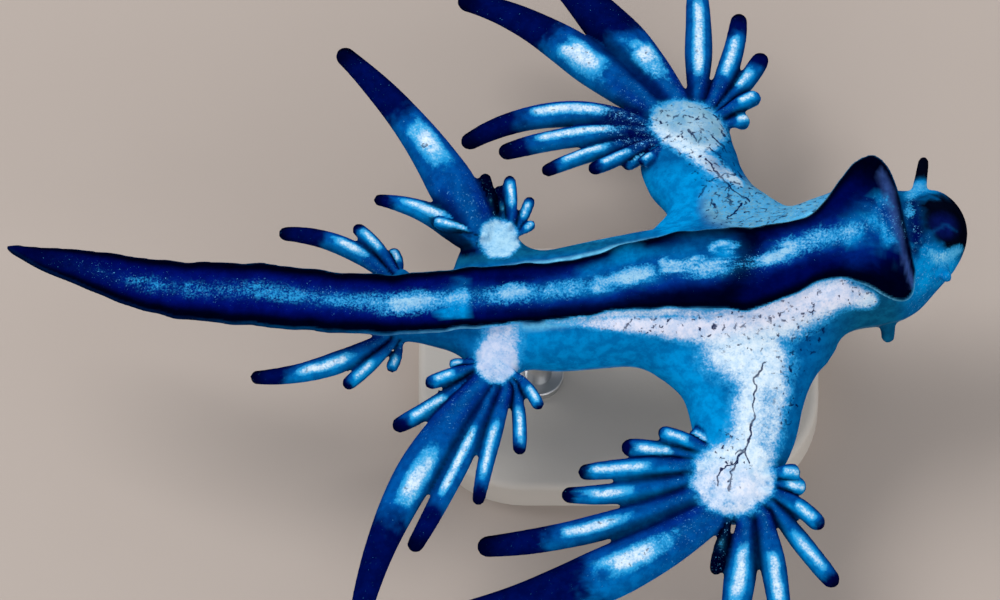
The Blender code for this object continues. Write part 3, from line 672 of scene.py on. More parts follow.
# The sole: signed distance to its outline, and the share across it
outlineRight, outlineLeft = footTable[1:3].T, footTable[3:5].T
ring = np.concatenate([outlineRight, outlineLeft[::-1]])
flat = points[:, :2]
edgeAway = np.full(count, 1e9)
crossings = np.zeros(count, dtype=int)
for a, b in zip(ring, np.roll(ring, -1, axis=0)):
    d = b - a
    t = np.clip(((flat - a) @ d) / (d @ d + 1e-12), 0, 1)
    edgeAway = np.minimum(edgeAway, np.hypot(*(flat - a - t[:, None] * d).T))
    spans = (a[1] > sideways) != (b[1] > sideways)
    if abs(d[1]) > 1e-12:
        crossings += spans & (lengthways < a[0] + (sideways - a[1]) * d[0] / d[1])
edgeIn = np.where(crossings % 2 == 1, edgeAway, -edgeAway)
rightY, leftY = (np.interp(lengthways, *outline.T) for outline in (outlineRight, outlineLeft))
across = np.clip((sideways - leftY) / (rightY - leftY + 1e-6), 0, 1)
aboveSole = upward - axisHeight - np.interp(lengthways, footTable[1], footTable[5])
soleMask = softStep(-0.02, 0.08, edgeIn) * softStep(-0.30, -0.16, aboveSole)
soleMask = soleMask * softStep(-0.1, 0.25, normals[:, 2])
soleRim = softStep(-0.28, -0.10, edgeIn) * (1 - softStep(-0.02, 0.06, edgeIn))
soleRim = soleRim * softStep(-0.55, -0.3, aboveSole)

# Cerata: which one each vertex belongs to, how far along, and on which side of it
best, second = np.full((2, count), 1e9)
cerasT, cerasAcross, cerasUp, cerasLength = np.zeros((4, count))
cerasId = np.full(count, -1)
marks = []
for name, fan in fans.items():
    local = fan.inside(points)
    normalUp = normals @ np.array(fan.up)
    for order, row in enumerate(fan.shape["cerata"]):
        spots = cerasLine(fan, row)[1:]
        base, length = spots[0][0], row[3]
        near = np.hypot(local[:, 0] - base.x, local[:, 1] - base.y) < length + 2.5
        u, v, w = local[near].T
        w = (w - cerasRise(fan, order, row)) / cerasShape["flatness"]
        bestHere = np.full(len(u), 1e9)
        tHere, sideHere = np.zeros((2, len(u)))
        for (pa, _, ha, ta), (pb, _, hb, tb) in zip(spots, spots[1:]):
            dx, dy = pb.x - pa.x, pb.y - pa.y
            long2 = dx * dx + dy * dy + 1e-12
            s = np.clip(((u - pa.x) * dx + (v - pa.y) * dy) / long2, 0, 1)
            ox, oy = u - pa.x - s * dx, v - pa.y - s * dy
            half = np.maximum(ha + (hb - ha) * s, row[4] * 0.14)
            far = np.sqrt(ox * ox + oy * oy + w * w) / half
            closer = far < bestHere
            bestHere = np.where(closer, far, bestHere)
            tHere = np.where(closer, ta + (tb - ta) * s, tHere)
            sideHere = np.where(closer, (oy * dx - ox * dy) / sqrt(long2) / half, sideHere)
        wins = bestHere < best[near]
        second[near] = np.where(wins, best[near], np.minimum(second[near], bestHere))
        for field, here in ((best, bestHere), (cerasT, tHere), (cerasAcross, sideHere),
                            (cerasUp, normalUp[near]), (cerasId, len(marks)),
                            (cerasLength, length)):
            field[near] = np.where(wins, here, field[near])
        mark = cerasMarks[name].get(order, cerasMarks["others"])
        marks.append((*mark, *(0.05 * (mark[1] < 0.7), 1.0)[len(mark) - 4:]))
crestFrom, crestTo, tipFrom, darkOne, crestSide, crestBroad = np.array(marks)[cerasId].T
cerasMask = 1 - softStep(1.25, 1.7, best)

# Palms: the pale pads from which the cerata fan out, x, y, half width and height, turn
palmPads = ((690, 124, 41, 26, 14), (732, 477, 43, 38, 0), (499, 238, 21, 20, 0),
            (497, 360, 22, 24, 0))
ragged = grain(0.40, 1) * 0.06 + grain(0.17, 2) * 0.05
palmMask = np.maximum.reduce([spot(*pad, 0.2, ragged) for pad in palmPads])
palmMask = palmMask * softStep(-0.1, 0.3, facing) * (0.93 + 0.1 * grain(0.22, 24))
cerasMask = cerasMask * (1 - palmMask)

# Painting. tint is the skin's own colour with painted light and shade in places, pale and lustre
# the pigment laid over it, with painted highlights on the cerata's crests
tint, lustre = Layer("azureDeep"), Layer("white")
pale, fleck, crack = Layer(0.0), Layer(0.15), Layer(0.0)
back = softStep(0.15, 0.65, -normals[:, 2])      # the animal's back, which faces down
front = softStep(-0.15, 0.25, facing)
tint.brush("azure", ((540, 352, 26), (600, 352, 26), (670, 372, 30), (712, 425, 26),
                     (712, 455, 22)), 0.45, mixed(0.7, 1.0, softStep(640, 700, seenX)))
tint.brush("azure", ((655, 195, 22), (690, 190, 26), (672, 215, 22)), 0.5)
# the neck under the sole darker teal towards the bottom: painted shade
tint.lay("teal", softStep(800, 870, seenX) * softStep(255, 310, seenY) * 0.9)
tint.brush("azureDeep", ((790, 380, 18), (785, 440, 16)), 0.6)
tint.brush("greyCyan", ((722, 205, 18), (752, 208, 26), (790, 212, 20), (830, 206, 12)), 0.5, 0.95)

# white bands on the belly side of the flank and arms
bandLow = stroke(((548, 322, 3), (600, 323, 6), (650, 326, 9), (700, 330, 14), (745, 330, 26),
                  (800, 308, 22), (838, 292, 15), (868, 300, 8)), 0.7)
bandLow = bandLow * mixed(0.5, 1.0, softStep(555, 635, seenX + 12 * grain(0.6, 23)))
shoulder = stroke(((738, 340, 38), (757, 362, 32), (761, 390, 25), (755, 425, 24),
                   (747, 460, 26)), 0.6, grain(0.8, 21) * 0.12)
armRight = stroke(((650, 126, 6), (680, 142, 8), (704, 157, 9), (722, 171, 8), (742, 184, 4)), 0.7)
greyArm = stroke(((712, 165, 12), (728, 196, 20), (752, 208, 24), (790, 212, 18), (830, 206, 12)),
                 0.5) * softStep(258, 232, seenY + (seenX - 700) * 0.05)
aboveArm = stroke(((499, 330, 15), (498, 346, 18), (497, 360, 20)), 0.6)
aboveArm = np.maximum(aboveArm * softStep(500, 480, seenX),
                      stroke(((503, 334, 18), (500, 352, 19)), 0.7))
besideFoot = stroke(((572, 316, 4.5), (620, 313, 5.5), (670, 312, 5.5), (714, 315, 4)), 0.8)
farBand = stroke(((560, 242, 5), (600, 238, 4), (650, 233, 4)), 0.6)
pale.reach(bandLow * front, shoulder * front, armRight * front * 0.9, palmMask,
           greyArm * front * 0.30, aboveArm * front * 0.8, besideFoot * front * 0.72,
           farBand * softStep(660, 580, seenX) * 0.25)
pale.fade(0.35 * stroke(((768, 395, 9), (763, 440, 8)), 0.8))
pale.fade((1 - palmMask) * (0.04 - 0.12 * grain(0.45, 15) - 0.10 * grain(0.2, 16)))
lustre.brush("pink", ((590, 325, 14), (660, 330, 16), (790, 305, 18), (850, 290, 14)), 0.6, 0.9)
lustre.dab("pink", (725, 490, 40, 26), 0.6)
lustre.brush("greyCyan", ((700, 215, 24), (740, 200, 24), (780, 212, 14)), 0.6, 0.7)
lustre.dab("greyCyan", (692, 118, 46, 28, 14, 0.4),
           (1 - armRight * 0.8) * (0.85 + 0.3 * grain(0.5, 14)))
lustre.dab("paleCyan", (499, 238, 24, 24), 0.7)
lustre.dab("lilac", (498, 352, 26, 34), 0.9)
lustre.lay("silver", palmMask * softStep(0.1, 0.8, grain(0.28, 25)) * 0.5)
lustre.dab("slate", (720, 163, 13, 10, 20, 0.8), 0.8)
crack.reach(bandLow * 0.6, shoulder * 0.19,
            stroke(((735, 325, 26), (800, 318, 26), (790, 370, 16), (785, 420, 8)), 0.6) * 0.8,
            stroke(((664, 126, 16), (704, 118, 26), (720, 150, 32), (742, 190, 40),
                    (790, 212, 24), (830, 208, 12)), 0.4),
            stroke(((728, 440, 12), (730, 470, 18)), 0.5) * 0.8)
fleck.reach(stroke(((700, 220, 30), (790, 212, 20)), 0.5) * 0.5)

# the tail's flank, and the far flank
tint.lay("navy", softStep(300, 180, seenX) * 0.85)
tint.brush("teal", ((430, 262, 8), (540, 246, 10), (660, 234, 10)), 0.6,
           softStep(675, 570, seenX + 14 * grain(0.8, 26)) * 0.8)
hidden = softStep(0.08, -0.14, facing)      # the flank that the photo doesn't show
tint.lay("azureDeep", hidden * 0.85)
fleck.mix(0.12, hidden)
crack.fade(1 - (1 - 0.75 * hidden) * front)
pale.fade(0.35 * hidden)

# cerata
longOne = softStep(cerasShape["shortTo"], cerasShape["longFrom"], cerasLength)
wave = (grain(0.5, 3) * 0.05 + grain(0.2, 4) * 0.03) * mixed(1.2, 0.7, longOne)
along, aside = cerasT + wave, np.abs(cerasAcross)
tipMask = softStep(tipFrom - 0.03, tipFrom + 0.05, along)
rootMask = 1 - softStep(0.08, 0.32, along)
crest = softStep(mixed(0.66, 0.6, longOne), 0.1,
                 np.abs(cerasAcross - crestSide + wave * 1.5) / crestBroad)
crestRun = softStep(crestFrom - 0.07, crestFrom + 0.09, along)
crestRun = crestRun * (1 - softStep(crestTo - 0.07, crestTo + 0.04, along))
# the crest: the ceras' own pale patch on its up-facing side, with a painted highlight along it
crestPaleAndHighlight = crest * softStep(0.15, 0.6, cerasUp) * crestRun
downSide = softStep(0.05, 0.75, -normals[:, 1])         # the side lit from below in the photo
# the side away from the light, darker royal with darker tips: painted shade
shadedSide = softStep(0.1, 0.8, normals[:, 1])
# darker navy along each ceras' sides where the surface turns away: painted shade, weaker on the
# lit side
shadedEdges = softStep(0.62, 1.02, aside) * softStep(-0.5, 0.1, cerasUp)
ridge = softStep(0.6, 0.1, aside) * rootMask * softStep(0.2, 0.7, cerasUp)
# darker where two cerata lie close together: painted shade between them, which also dims crests
# and flecks there
shadeBetween = softStep(1.1, 0.2, second - best) * softStep(0.85, 0.3, cerasT)
shadeBetween = shadeBetween * softStep(0.1, 0.55, aside)
crackled = spot(628, 126, 34, 22, 25, 0.6) * softStep(0.1, 0.5, cerasUp)
cerasTint = Layer("cerasBlue")
for colour, share in (
        # the lit side lighter azure: painted light
        ("azure", downSide * mixed(0.75, 0.32, longOne)),
        # small cerata lighter azure along the crest: painted highlight
        ("azure", crestRun * softStep(1.0, 0.5, aside) * (1 - longOne) * 0.6),
        # the shaded side darker royal: painted shade
        ("royal", shadedSide * 0.85),
        # royal roots, their own colour, lighter on the lit side: painted light
        ("royal", rootMask * (0.9 - 0.5 * downSide)),
        # the crest shading through azure and cyan to white: pale pigment and painted highlight
        ("azure", softStep(0.05, 0.4, crestPaleAndHighlight) * 0.75),
        ("cyan", softStep(0.25, 0.7, crestPaleAndHighlight) * mixed(0.92, 0.75, longOne)),
        ("backSilver", softStep(0.2, 0.7, -cerasUp) * 0.55 * (1 - tipMask)),
        # navy on the turned-away sides: painted shade
        ("navy", shadedEdges * mixed(0.75, 0.35, longOne) * (1 - 0.6 * downSide * longOne)),
        ("navy", tipMask),
        # near-black ends, their own colour; the tips darker still on the shaded side: painted
        # shade
        ("ink", softStep(0.84, 0.98, cerasT) * 0.8 + tipMask * shadedSide * 0.5),
        ("azureDeep", ridge * 0.5),
        # ink between close cerata: painted shade
        ("ink", shadeBetween * mixed(0.95, 0.62, longOne)),
        ("navy", crackled * (0.5 + 0.5 * softStep(-0.3, 0.5, grain(0.2, 29)))),
        ("ink", darkOne * 0.9)):
    cerasTint.lay(colour, share)
crestPaleAndHighlight = crestPaleAndHighlight * (1 - 0.5 * shadeBetween) * (1 - darkOne * 0.8)
tint.mix(cerasTint.now, cerasMask)
pale.mix(crestPaleAndHighlight * mixed(0.74, 0.86, longOne), cerasMask)
lustre.mix(mixed(skinTones["paleCyan"], skinTones["white"], softStep(0.6, 0.95, crestPaleAndHighlight)), cerasMask)
fleck.mix((0.44 + 0.24 * rootMask - 0.08 * tipMask) * (1 - 0.8 * shadeBetween)
          + 0.25 * darkOne + 0.5 * crackled, cerasMask)
crack.fade(cerasMask)
crack.reach(cerasMask * longOne * softStep(0.3, 0.8, crestPaleAndHighlight) * 0.35)

# head: azure with silver specks, and a dark cap over the mouth
headMask = softStep(890, 915, seenX)
capMask = headMask * stroke(((932, 205, 12), (946, 219, 25), (958, 238, 19)), 0.3,
                            ragged * 2 + grain(0.9, 22) * 0.1)
feelerMask = softStep(185, 177, seenY) * softStep(905, 910, seenX)
motes = grain(0.4, 13) + 0.9 * grain(0.2, 27)
tint.lay("azureDeep", headMask * 0.8)
tint.brush("azure", ((905, 290, 10), (945, 262, 14), (925, 268, 12)), 0.7, headMask)
# dark navy on the neck just in front of the foot's raised front edge: painted shadow of that edge
tint.brush("navy", ((905, 195, 12), (910, 225, 14), (915, 245, 10)), 0.6, headMask)
tint.lay("mouth", np.maximum(capMask, feelerMask))
tint.dab("capBlue", (943, 226, 13, 11, 20, 0.6), 0.75 * headMask)
tint.brush("azureDeep", ((924, 200, 2), (930, 196, 2), (938, 199, 1.5)), 0.8, 0.6 * headMask)
tint.brush("azure", ((897, 196, 5), (913, 191, 6), (922, 185, 6), (936, 189, 4)), 0.8,
           0.85 * headMask * (1 - capMask))
tint.brush("azure", ((912, 240, 7), (924, 248, 8)), 0.8,
           softStep(-0.2, 0.7, motes) * 0.7 * headMask)
tint.brush("azureDeep", ((926, 243, 1.6), (934, 230, 1.8), (946, 225, 1.8), (956, 231, 1.5)), 0.5,
           0.24 * headMask)
fleck.mix(0.75 * (1 - np.maximum(capMask * 0.8, feelerMask)), headMask)
pale.fade(headMask)
for field in (stroke(((930, 254, 4), (940, 259, 8), (958, 250, 5)), 0.8, ragged * 4) * 0.68,
              stroke(((908, 197, 4), (917, 187, 5), (927, 186, 4)), 0.8) * 0.62,
              spot(908, 211, 4, 6, 0, 0.8, grain(0.2, 28) * 0.6) * 0.5):
    pale.reach(field * headMask)
lustre.lay("cyan", headMask)
lustre.dab("paleCyan", (939, 255, 7, 6, 0, 0.8), 0.85)

# the back is silvery grey with a blue stripe down each side, as in the species
axisY, bandHalf = read(trunkTable, lengthways)[:2]
bandAcross = np.abs(sideways - axisY)
outward = bandAcross / (bandHalf + 0.01)
stripe = softStep(0.35, 0.55, outward) * (1 - softStep(0.75, 0.95, outward))
onFeelers = (lengthways > 9.3) & (bandAcross > bandHalf)
bodyOnly = np.where(onFeelers, 0, (1 - cerasMask) * back)
tint.lay("backSilver", bodyOnly * 0.9)
tint.lay("royal", bodyOnly * stripe * 0.8)

# the sole
soleMix = {
    # the pale middle band: x, y, half width, strength
    "band": ((60, 262, 5, 0.0), (110, 276, 9, 0.10), (150, 284, 9, 0.22), (200, 291, 8, 0.24),
             (260, 290, 8, 0.38), (300, 295, 7, 0.38), (330, 299, 6, 0.5), (360, 302, 7, 0.7),
             (395, 303, 9, 0.95), (428, 301, 8, 0.8), (440, 299, 7, 0.4), (480, 297, 7, 0.4),
             (545, 293, 8, 0.4), (590, 285, 8, 0.4), (655, 273, 8, 0.4), (675, 268, 6, 0.0),
             (750, 264, 4, 0.2), (762, 260, 6, 0.8), (790, 249, 9, 1.1), (810, 241, 9, 1.05),
             (830, 236, 9, 0.7), (852, 230, 7, 0.6), (872, 224, 6, 0.3)),
    # paler patches on it: x, y, half width and height, turn, strength
    "patches": ((797, 247, 17, 6, -22, 0.75), (827, 237, 12, 6, -18, 0.6),
                (459, 297, 13, 6, -8, 0.80), (516, 292, 19, 8, -4, 0.85),
                (549, 292, 9, 6, 0, 0.6), (603, 282, 13, 6, -14, 0.80),
                (634, 275, 19, 8, -12, 0.95), (597, 288, 5, 4, 0, 0.7)),
    # along x in the photo, the strength of the blue halo round the band, and of the specks
    "halo": ((0, 0.0), (90, 0.15), (250, 0.32), (430, 0.7), (540, 0.95), (720, 0.75), (760, 0.5),
             (860, 0.85)),
    "specks": ((0, 0.3), (90, 0.95), (300, 1.1), (420, 1.1), (620, 0.9), (840, 1.1)),
}
soleTable = {name: np.array(rows).T for name, rows in soleMix.items()}
wobble = grain(0.9, 5) * 0.025 + grain(0.3, 6) * 0.02
tailward = softStep(470, 380, seenX)
border = 1 - softStep(0.06 + 0.04 * tailward, 0.19 + 0.08 * tailward,
                      np.minimum(across, 1 - across) + wobble * 0.5)
lowBorder = softStep(0.42, 0.16, across + wobble)
lowBorder = lowBorder * softStep(470, 560, seenX) * softStep(780, 700, seenX)
bandY, bandWide, bandPower = read(soleTable["band"], seenX)
offBand = np.abs(seenY - bandY)
bandField = np.exp(-(offBand / bandWide) ** 2 * 0.9) * bandPower
bandField = bandField * (seenX < soleTable["band"][0, -1])
halo = np.exp(-(offBand / mixed(10, 15, softStep(480, 640, seenX))) ** 2)
halo = halo * read(soleTable["halo"], seenX)[0]
halo = halo * (1 + 0.35 * grain(0.7, 10) + 0.25 * grain(0.3, 11))
blotch = softStep(-0.35, 0.45, grain(0.62, 7) + 0.5 * grain(0.26, 8))
soleTint, solePale = Layer("soleTail"), Layer(0.0)
soleTint.lay("soleBlue", softStep(400, 520, seenX))
soleTint.lay("ink", np.maximum(border, lowBorder * 0.9))
soleTint.lay("royal", softStep(0.0, 0.4, halo))
soleTint.lay("azureDeep", softStep(0.25, 0.9, halo) * 0.95)
soleTint.lay("ink", softStep(150, 30, seenX) * 0.7)
soleTint.brush("ink", ((722, 300, 12), (740, 272, 12), (752, 240, 12)), 0.7, 0.8)
solePale.reach(bandField * (0.45 + 0.7 * blotch))
for *oval, strength in soleMix["patches"]:
    patch = spot(*oval, 0.45, grain(0.3, 12) * 0.25) * strength
    solePale.reach(patch * (0.62 + 0.48 * blotch))
block = within(seenX + (seenY - 300) * 0.15, 441, 468, 2) * within(seenY, 293, 318, 1.5)
soleTint.lay("azure", block * 0.9)
soleTint.lay("azureDeep", within(seenX, 451, 466, 3) * within(seenY, 278, 294, 3) * 0.6)
soleTint.dab("azure", (628, 254, 13, 8, -15, 0.8), 0.55)
soleTint.brush("azure", ((585, 272, 5), (620, 262, 6), (655, 254, 6), (690, 252, 6)), 0.9, 0.4)
soleTint.dab("azureDeep", (702, 256, 34, 20, -8, 0.6), 0.55)

# the flared front of the sole, speckled, with dark corners
soleFlare = softStep(838, 862, seenX)
cloud = stroke(((842, 240, 9), (862, 224, 16), (880, 206, 13), (888, 236, 12)), 0.9)
soleTint.brush("royal", ((856, 250, 14), (880, 228, 16), (884, 205, 8)), 0.9, 0.75)
soleTint.lay("azureDeep", cloud * np.clip(0.35 + 0.6 * motes, 0, 1))
soleTint.lay("azure", cloud * softStep(0.1, 0.8, motes) * 0.7)
soleTint.brush("azureDeep", ((884, 264, 6), (892, 270, 6)), 0.9, softStep(0.0, 0.7, motes) * 0.7)
cornerInk = np.maximum(spot(874, 170, 22, 20, 30, 0.7), spot(893, 282, 30, 22, 0, 0.6))
soleTint.lay("ink", np.maximum(soleFlare * (1 - softStep(0.2, 0.5, edgeIn)), cornerInk) * 0.95)
soleTint.brush("steel", ((881, 174, 4), (888, 192, 5.5), (892, 212, 4.5), (898, 232, 3),
                         (904, 262, 2.5), (911, 286, 2.5)), 0.7, 0.75)
soleTint.dab("azure", (721, 251, 11, 10, 0, 0.5), 0.75)

# pale rings and lines on the middle of the sole
ovalRing = spot(701, 267, 27, 12, -6, 0.12) * (1 - 0.75 * spot(703, 269, 22, 9, -6, 0.2))
ovalFill = spot(708, 268, 20, 8.5, -4, 0.4) * (0.52 + 0.3 * grain(0.3, 9))
tearLine = stroke(((710, 246, 2.4), (720, 243, 2.4), (731, 245, 2.4), (728, 256, 2.2),
                   (724, 264, 1.8), (716, 257, 2.2), (710, 246, 2.4)), 0.7)
solePale.reach(spot(664, 266, 8, 7) * 0.72, ovalRing * softStep(712, 690, seenX) * 0.6, ovalFill,
               tearLine * 0.72)
solePale.fade(soleFlare * 0.45)
solePale.reach(cloud * softStep(0.0, 0.9, motes) * 0.27)
gaps = [stroke(line, 0.6) for line in (((656, 256, 1.8), (657, 276, 1.8)),
                                       ((674, 258, 1.8), (674, 279, 1.8)))]
solePale.fade(0.85 * np.maximum(*gaps))
soleFleck = (0.12 + 0.58 * np.exp(-(offBand / 18) ** 2)) * (1 - border * 0.8)
soleFleck = np.maximum(soleFleck, cloud * 0.8) * read(soleTable["specks"], seenX)[0]
rimPower = 0.9 * softStep(350, 480, seenX) * softStep(922, 908, seenX)
rimPower = rimPower * (1 - softStep(876, 884, seenX) * softStep(284, 268, seenY))
soleRim = soleRim * (1 - cerasMask)
tint.lay("ink", soleRim * 0.9 * softStep(400, 330, seenX))
tint.lay("rimCyan", soleRim * rimPower)
for layer, sole in ((tint, soleTint.now), (pale, solePale.now), (fleck, soleFleck),
                    (lustre, mixed(skinTones["azure"], skinTones["silver"],
                                   softStep(300, 390, seenX))),
                    (crack, softStep(0.45, 0.9, solePale.now) * 0.25)):
    layer.mix(sole, soleMask)
print("skin painted")

for name, layer in (("tint", tint), ("lustre", lustre), ("pale", pale), ("fleck", fleck),
                    ("crack", crack)):
    values = np.clip(layer.now, 0, 1)
    coloured = values.ndim == 2
    if coloured:
        values = np.concatenate([values, np.ones((count, 1))], 1)
    kept = whole.attributes.new(name, "FLOAT_COLOR" if coloured else "FLOAT", "POINT")
    kept.data.foreach_set("color" if coloured else "value", values.astype(np.float32).ravel())


def onBelly(x, y, z=9.0):       # a place in the photo's pixels as X and Y at a height, mm
    lifted = (photoY - y) / pixelsPerMm - (z - axisHeight) * cos(lift)
    return ((x - photoX) / pixelsPerMm, lifted / sin(lift))


longCrackLines = [[onBelly(*place) for place in line] for line in (
    # x, y and height of the places along each
    ((765, 356, 8.6), (754, 372, 8.5), (752, 413, 8.2), (744, 438, 7.9), (732, 452, 7.8),
     (720, 456, 7.8), (716, 474, 7.7)),
    ((736, 448, 7.9), (730, 462, 7.8), (729, 478, 7.7)),
    ((744, 438, 7.9), (748, 452, 7.8)),
    ((708, 150, 7.8), (718, 166, 7.9), (730, 180, 8.1), (740, 192, 8.2), (751, 198, 8.3)),
    ((713, 174, 8.0), (722, 168, 8.0), (737, 164, 7.9)),
    ((716, 126, 7.6), (729, 138, 7.7)), ((691, 119, 7.6), (699, 131, 7.6)),
    ((700, 190, 8.2), (706, 180, 8.1)), ((744, 200, 8.3), (729, 216, 8.4)),
    ((664, 141, 7.8), (674, 138, 7.8), (682, 145, 7.8)), ((726, 186, 8.1), (733, 178, 8.1)))]


class Shader:       # short hands for laying nodes in a material
    def __init__(self, name):
        self.material = bpy.data.materials.new(name)
        self.material.use_nodes = True
        self.tree = self.material.node_tree
        self.surface = self.tree.nodes["Principled BSDF"]
        self.where = self.node("ShaderNodeTexCoord").outputs["Object"]

    def put(self, socket, value):       # a number, a colour, a vector or another node's output
        if isinstance(value, bpy.types.NodeSocket):
            self.tree.links.new(value, socket)
        elif isinstance(value, (int, float)):
            socket.default_value = value
        else:
            socket.default_value = (*map(float, value), 1.0)[:len(socket.default_value)]

    def fill(self, node, **values):
        for key, value in values.items():
            if hasattr(node, key):
                setattr(node, key, value)
            else:
                self.put(node.inputs[key.replace("_", " ")], value)
        return node

    def node(self, kind, *values, **named):
        made = self.fill(self.tree.nodes.new(kind), **named)
        for socket, value in zip(made.inputs, values):
            self.put(socket, value)
        return made

    def field(self, name, output="Fac"):
        return self.node("ShaderNodeAttribute", attribute_name=name).outputs[output]

    def maths(self, operation, a, b, clamp=False):
        return self.node("ShaderNodeMath", a, b, operation=operation, use_clamp=clamp).outputs[0]

    def times(self, a, b, clamp=False):
        return self.maths("MULTIPLY", a, b, clamp)

    def plus(self, a, b):
        return self.maths("ADD", a, b)

    def minus(self, a, b):
        return self.maths("SUBTRACT", a, b)

    def vectors(self, operation, *values, output="Vector"):
        return self.node("ShaderNodeVectorMath", *values, operation=operation).outputs[output]

    def blend(self, share, a, b, kind="MIX"):
        made = self.node("ShaderNodeMix", data_type="RGBA", blend_type=kind)
        for slot, value in ((0, share), (6, a), (7, b)):
            self.put(made.inputs[slot], value)
        return made.outputs[2]

    def ramp(self, value, low, high):       # 0 below low, 1 above high, smooth between
        return self.node("ShaderNodeMapRange", value, low, high,
                         interpolation_type="SMOOTHSTEP").outputs["Result"]

    def noise(self, scale, detail, rough, output="Fac", where=None):
        return self.node("ShaderNodeTexNoise", Scale=scale, Detail=detail, Roughness=rough,
                         Vector=where or self.where).outputs[output]

    def relief(self, height, strength, depth):
        bump = self.node("ShaderNodeBump", Strength=strength, Distance=depth, Height=height)
        self.fill(self.surface, Normal=bump.outputs["Normal"])

    def longCracks(self, where, patchy):        # dark lines along the given places, in mm
        # flattened, in mm, less the middle of the warp
        flat = self.vectors("MULTIPLY_ADD", where, (1000, 1000, 0), (-0.2, -0.2, 0))
        nearest = 1.0
        for line in longCrackLines:
            for a, b in zip(line, line[1:]):
                span = Vector((b[0] - a[0], b[1] - a[1], 0.0))
                start = self.vectors("SUBTRACT", flat, (*a, 0))
                share = self.vectors("DOT_PRODUCT", start, span / span.length_squared,
                                     output="Value")
                held = self.maths("MINIMUM", self.maths("MAXIMUM", share, 0.0), 1.0)
                along = self.node("ShaderNodeVectorMath", span, operation="SCALE", Scale=held)
                away = self.vectors("DISTANCE", start, along.outputs["Vector"], output="Value")
                nearest = self.maths("MINIMUM", nearest, away)
        away = self.minus(nearest, self.times(patchy, 0.06))
        return self.minus(1.0, self.ramp(away, -0.015, 0.025))


def skinMaterial():
    s = Shader("blueDragonSkin")
    pale, fleck, crack = s.field("pale"), s.field("fleck"), s.field("crack")
    # ragged edge of the pale pigment
    coarse, fine = s.noise(3600, 3.0, 0.7), s.noise(12000, 2.0, 0.6)
    fineOff = s.minus(fine, 0.5)
    grainy = s.plus(s.times(s.minus(coarse, 0.5), 0.8), s.times(fineOff, 0.5))
    edge = s.plus(pale, s.plus(grainy, s.times(fineOff, s.times(fleck, 1.3))))
    soft = s.times(s.ramp(edge, 0.0, 0.5), s.ramp(pale, 0.02, 0.2))
    laid = s.times(s.ramp(edge, 0.34, 0.92), s.ramp(pale, 0.05, 0.3))
    mottle = s.ramp(s.noise(2400, 4.0, 0.65), 0.34, 0.66)
    tint = s.blend(1.0, s.field("tint", "Color"),
                   s.blend(mottle, (0.72, 0.74, 0.80), (1.24, 1.22, 1.16)), "MULTIPLY")
    veiled = s.blend(s.times(soft, 0.8), tint, tone(42, 160, 222))
    lustre = s.blend(s.times(s.ramp(edge, 1.15, 0.7), 0.25), s.field("lustre", "Color"),
                     tone(110, 172, 218))
    patches = s.ramp(s.noise(3300, 3.0, 0.6), 0.36, 0.6)
    lustre = s.blend(1.0, lustre, s.blend(patches, (0.82, 0.90, 0.96), (1.08, 1.05, 1.02)),
                     "MULTIPLY")
    colour = s.blend(laid, veiled, lustre)
    # silver flecks
    least = s.minus(0.76, s.times(fleck, 0.24))
    flecks = s.maths("DIVIDE", s.minus(s.noise(15000, 3.0, 0.75), least), 0.07, True)
    sparkle = s.times(s.ramp(s.noise(5200, 1.0, 0.5), 0.35, 0.7), s.ramp(fleck, 0.03, 0.3))
    colour = s.blend(s.times(flecks, sparkle, True), colour, tone(96, 178, 232))
    # dark cracks in the pale pigment: fine broken ones, and a few long ones
    warped = s.vectors("MULTIPLY_ADD", s.noise(2600, 2.0, 0.5, "Color"), (0.0004, 0.0004, 0.0004),
                       s.where)
    lines = s.node("ShaderNodeTexVoronoi", feature="DISTANCE_TO_EDGE", Scale=2300.0,
                   Randomness=1.0, Vector=warped)
    thin = s.minus(1.0, s.ramp(lines.outputs["Distance"], 0.02, 0.14))
    broken = s.ramp(s.noise(4300, 2.0, 0.6),
                    s.maths("MINIMUM", s.minus(0.66, s.times(crack, 0.17)), 0.60), 0.62)
    cracks = s.maths("MAXIMUM", s.times(s.times(thin, broken), s.ramp(crack, 0.05, 0.5)),
                     s.times(s.ramp(crack, 0.02, 0.2), s.longCracks(warped, coarse)))
    depth = s.plus(0.7, s.times(s.ramp(s.noise(1400, 2.0, 0.5), 0.38, 0.62), 0.3))
    colour = s.blend(s.times(cracks, depth), colour, tone(3, 22, 72))
    # in water the skin has no gloss of its own
    s.fill(s.surface, Base_Color=colour, Roughness=s.plus(0.26, s.times(coarse, 0.16)),
           Specular_IOR_Level=0.0)
    # fine skin relief, and the cracks as shallow furrows
    s.relief(s.minus(s.times(s.noise(3200, 4.0, 0.6), 0.6), s.times(cracks, 0.5)), 0.35, 0.00008)
    return s.material


for polygon in whole.polygons:
    polygon.use_smooth = True
whole.transform(Matrix.Scale(mm, 4))
whole.materials.clear()
whole.materials.append(skinMaterial())
skin = sceneObject("slugSkin", whole)
fleshNodes = [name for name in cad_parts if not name.startswith("stand_")]
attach(skin, "root")
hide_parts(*fleshNodes)
print("skin placed,", len(whole.polygons), "faces")


def bevelled(bm, edges, offset, segments):
    bmesh.ops.bevel(bm, geom=edges, offset=offset, segments=segments, affect="EDGES",
                    profile=0.5, material=-1)


def solidObject(name, bm, material):
    mesh = meshFrom(bm, name)
    mesh.transform(Matrix.Scale(mm, 4))
    mesh.shade_smooth()
    mesh.set_sharp_from_angle(angle=radians(50))
    mesh.materials.append(material)
    made = sceneObject(name, mesh)
    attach(made, "root")
    return made


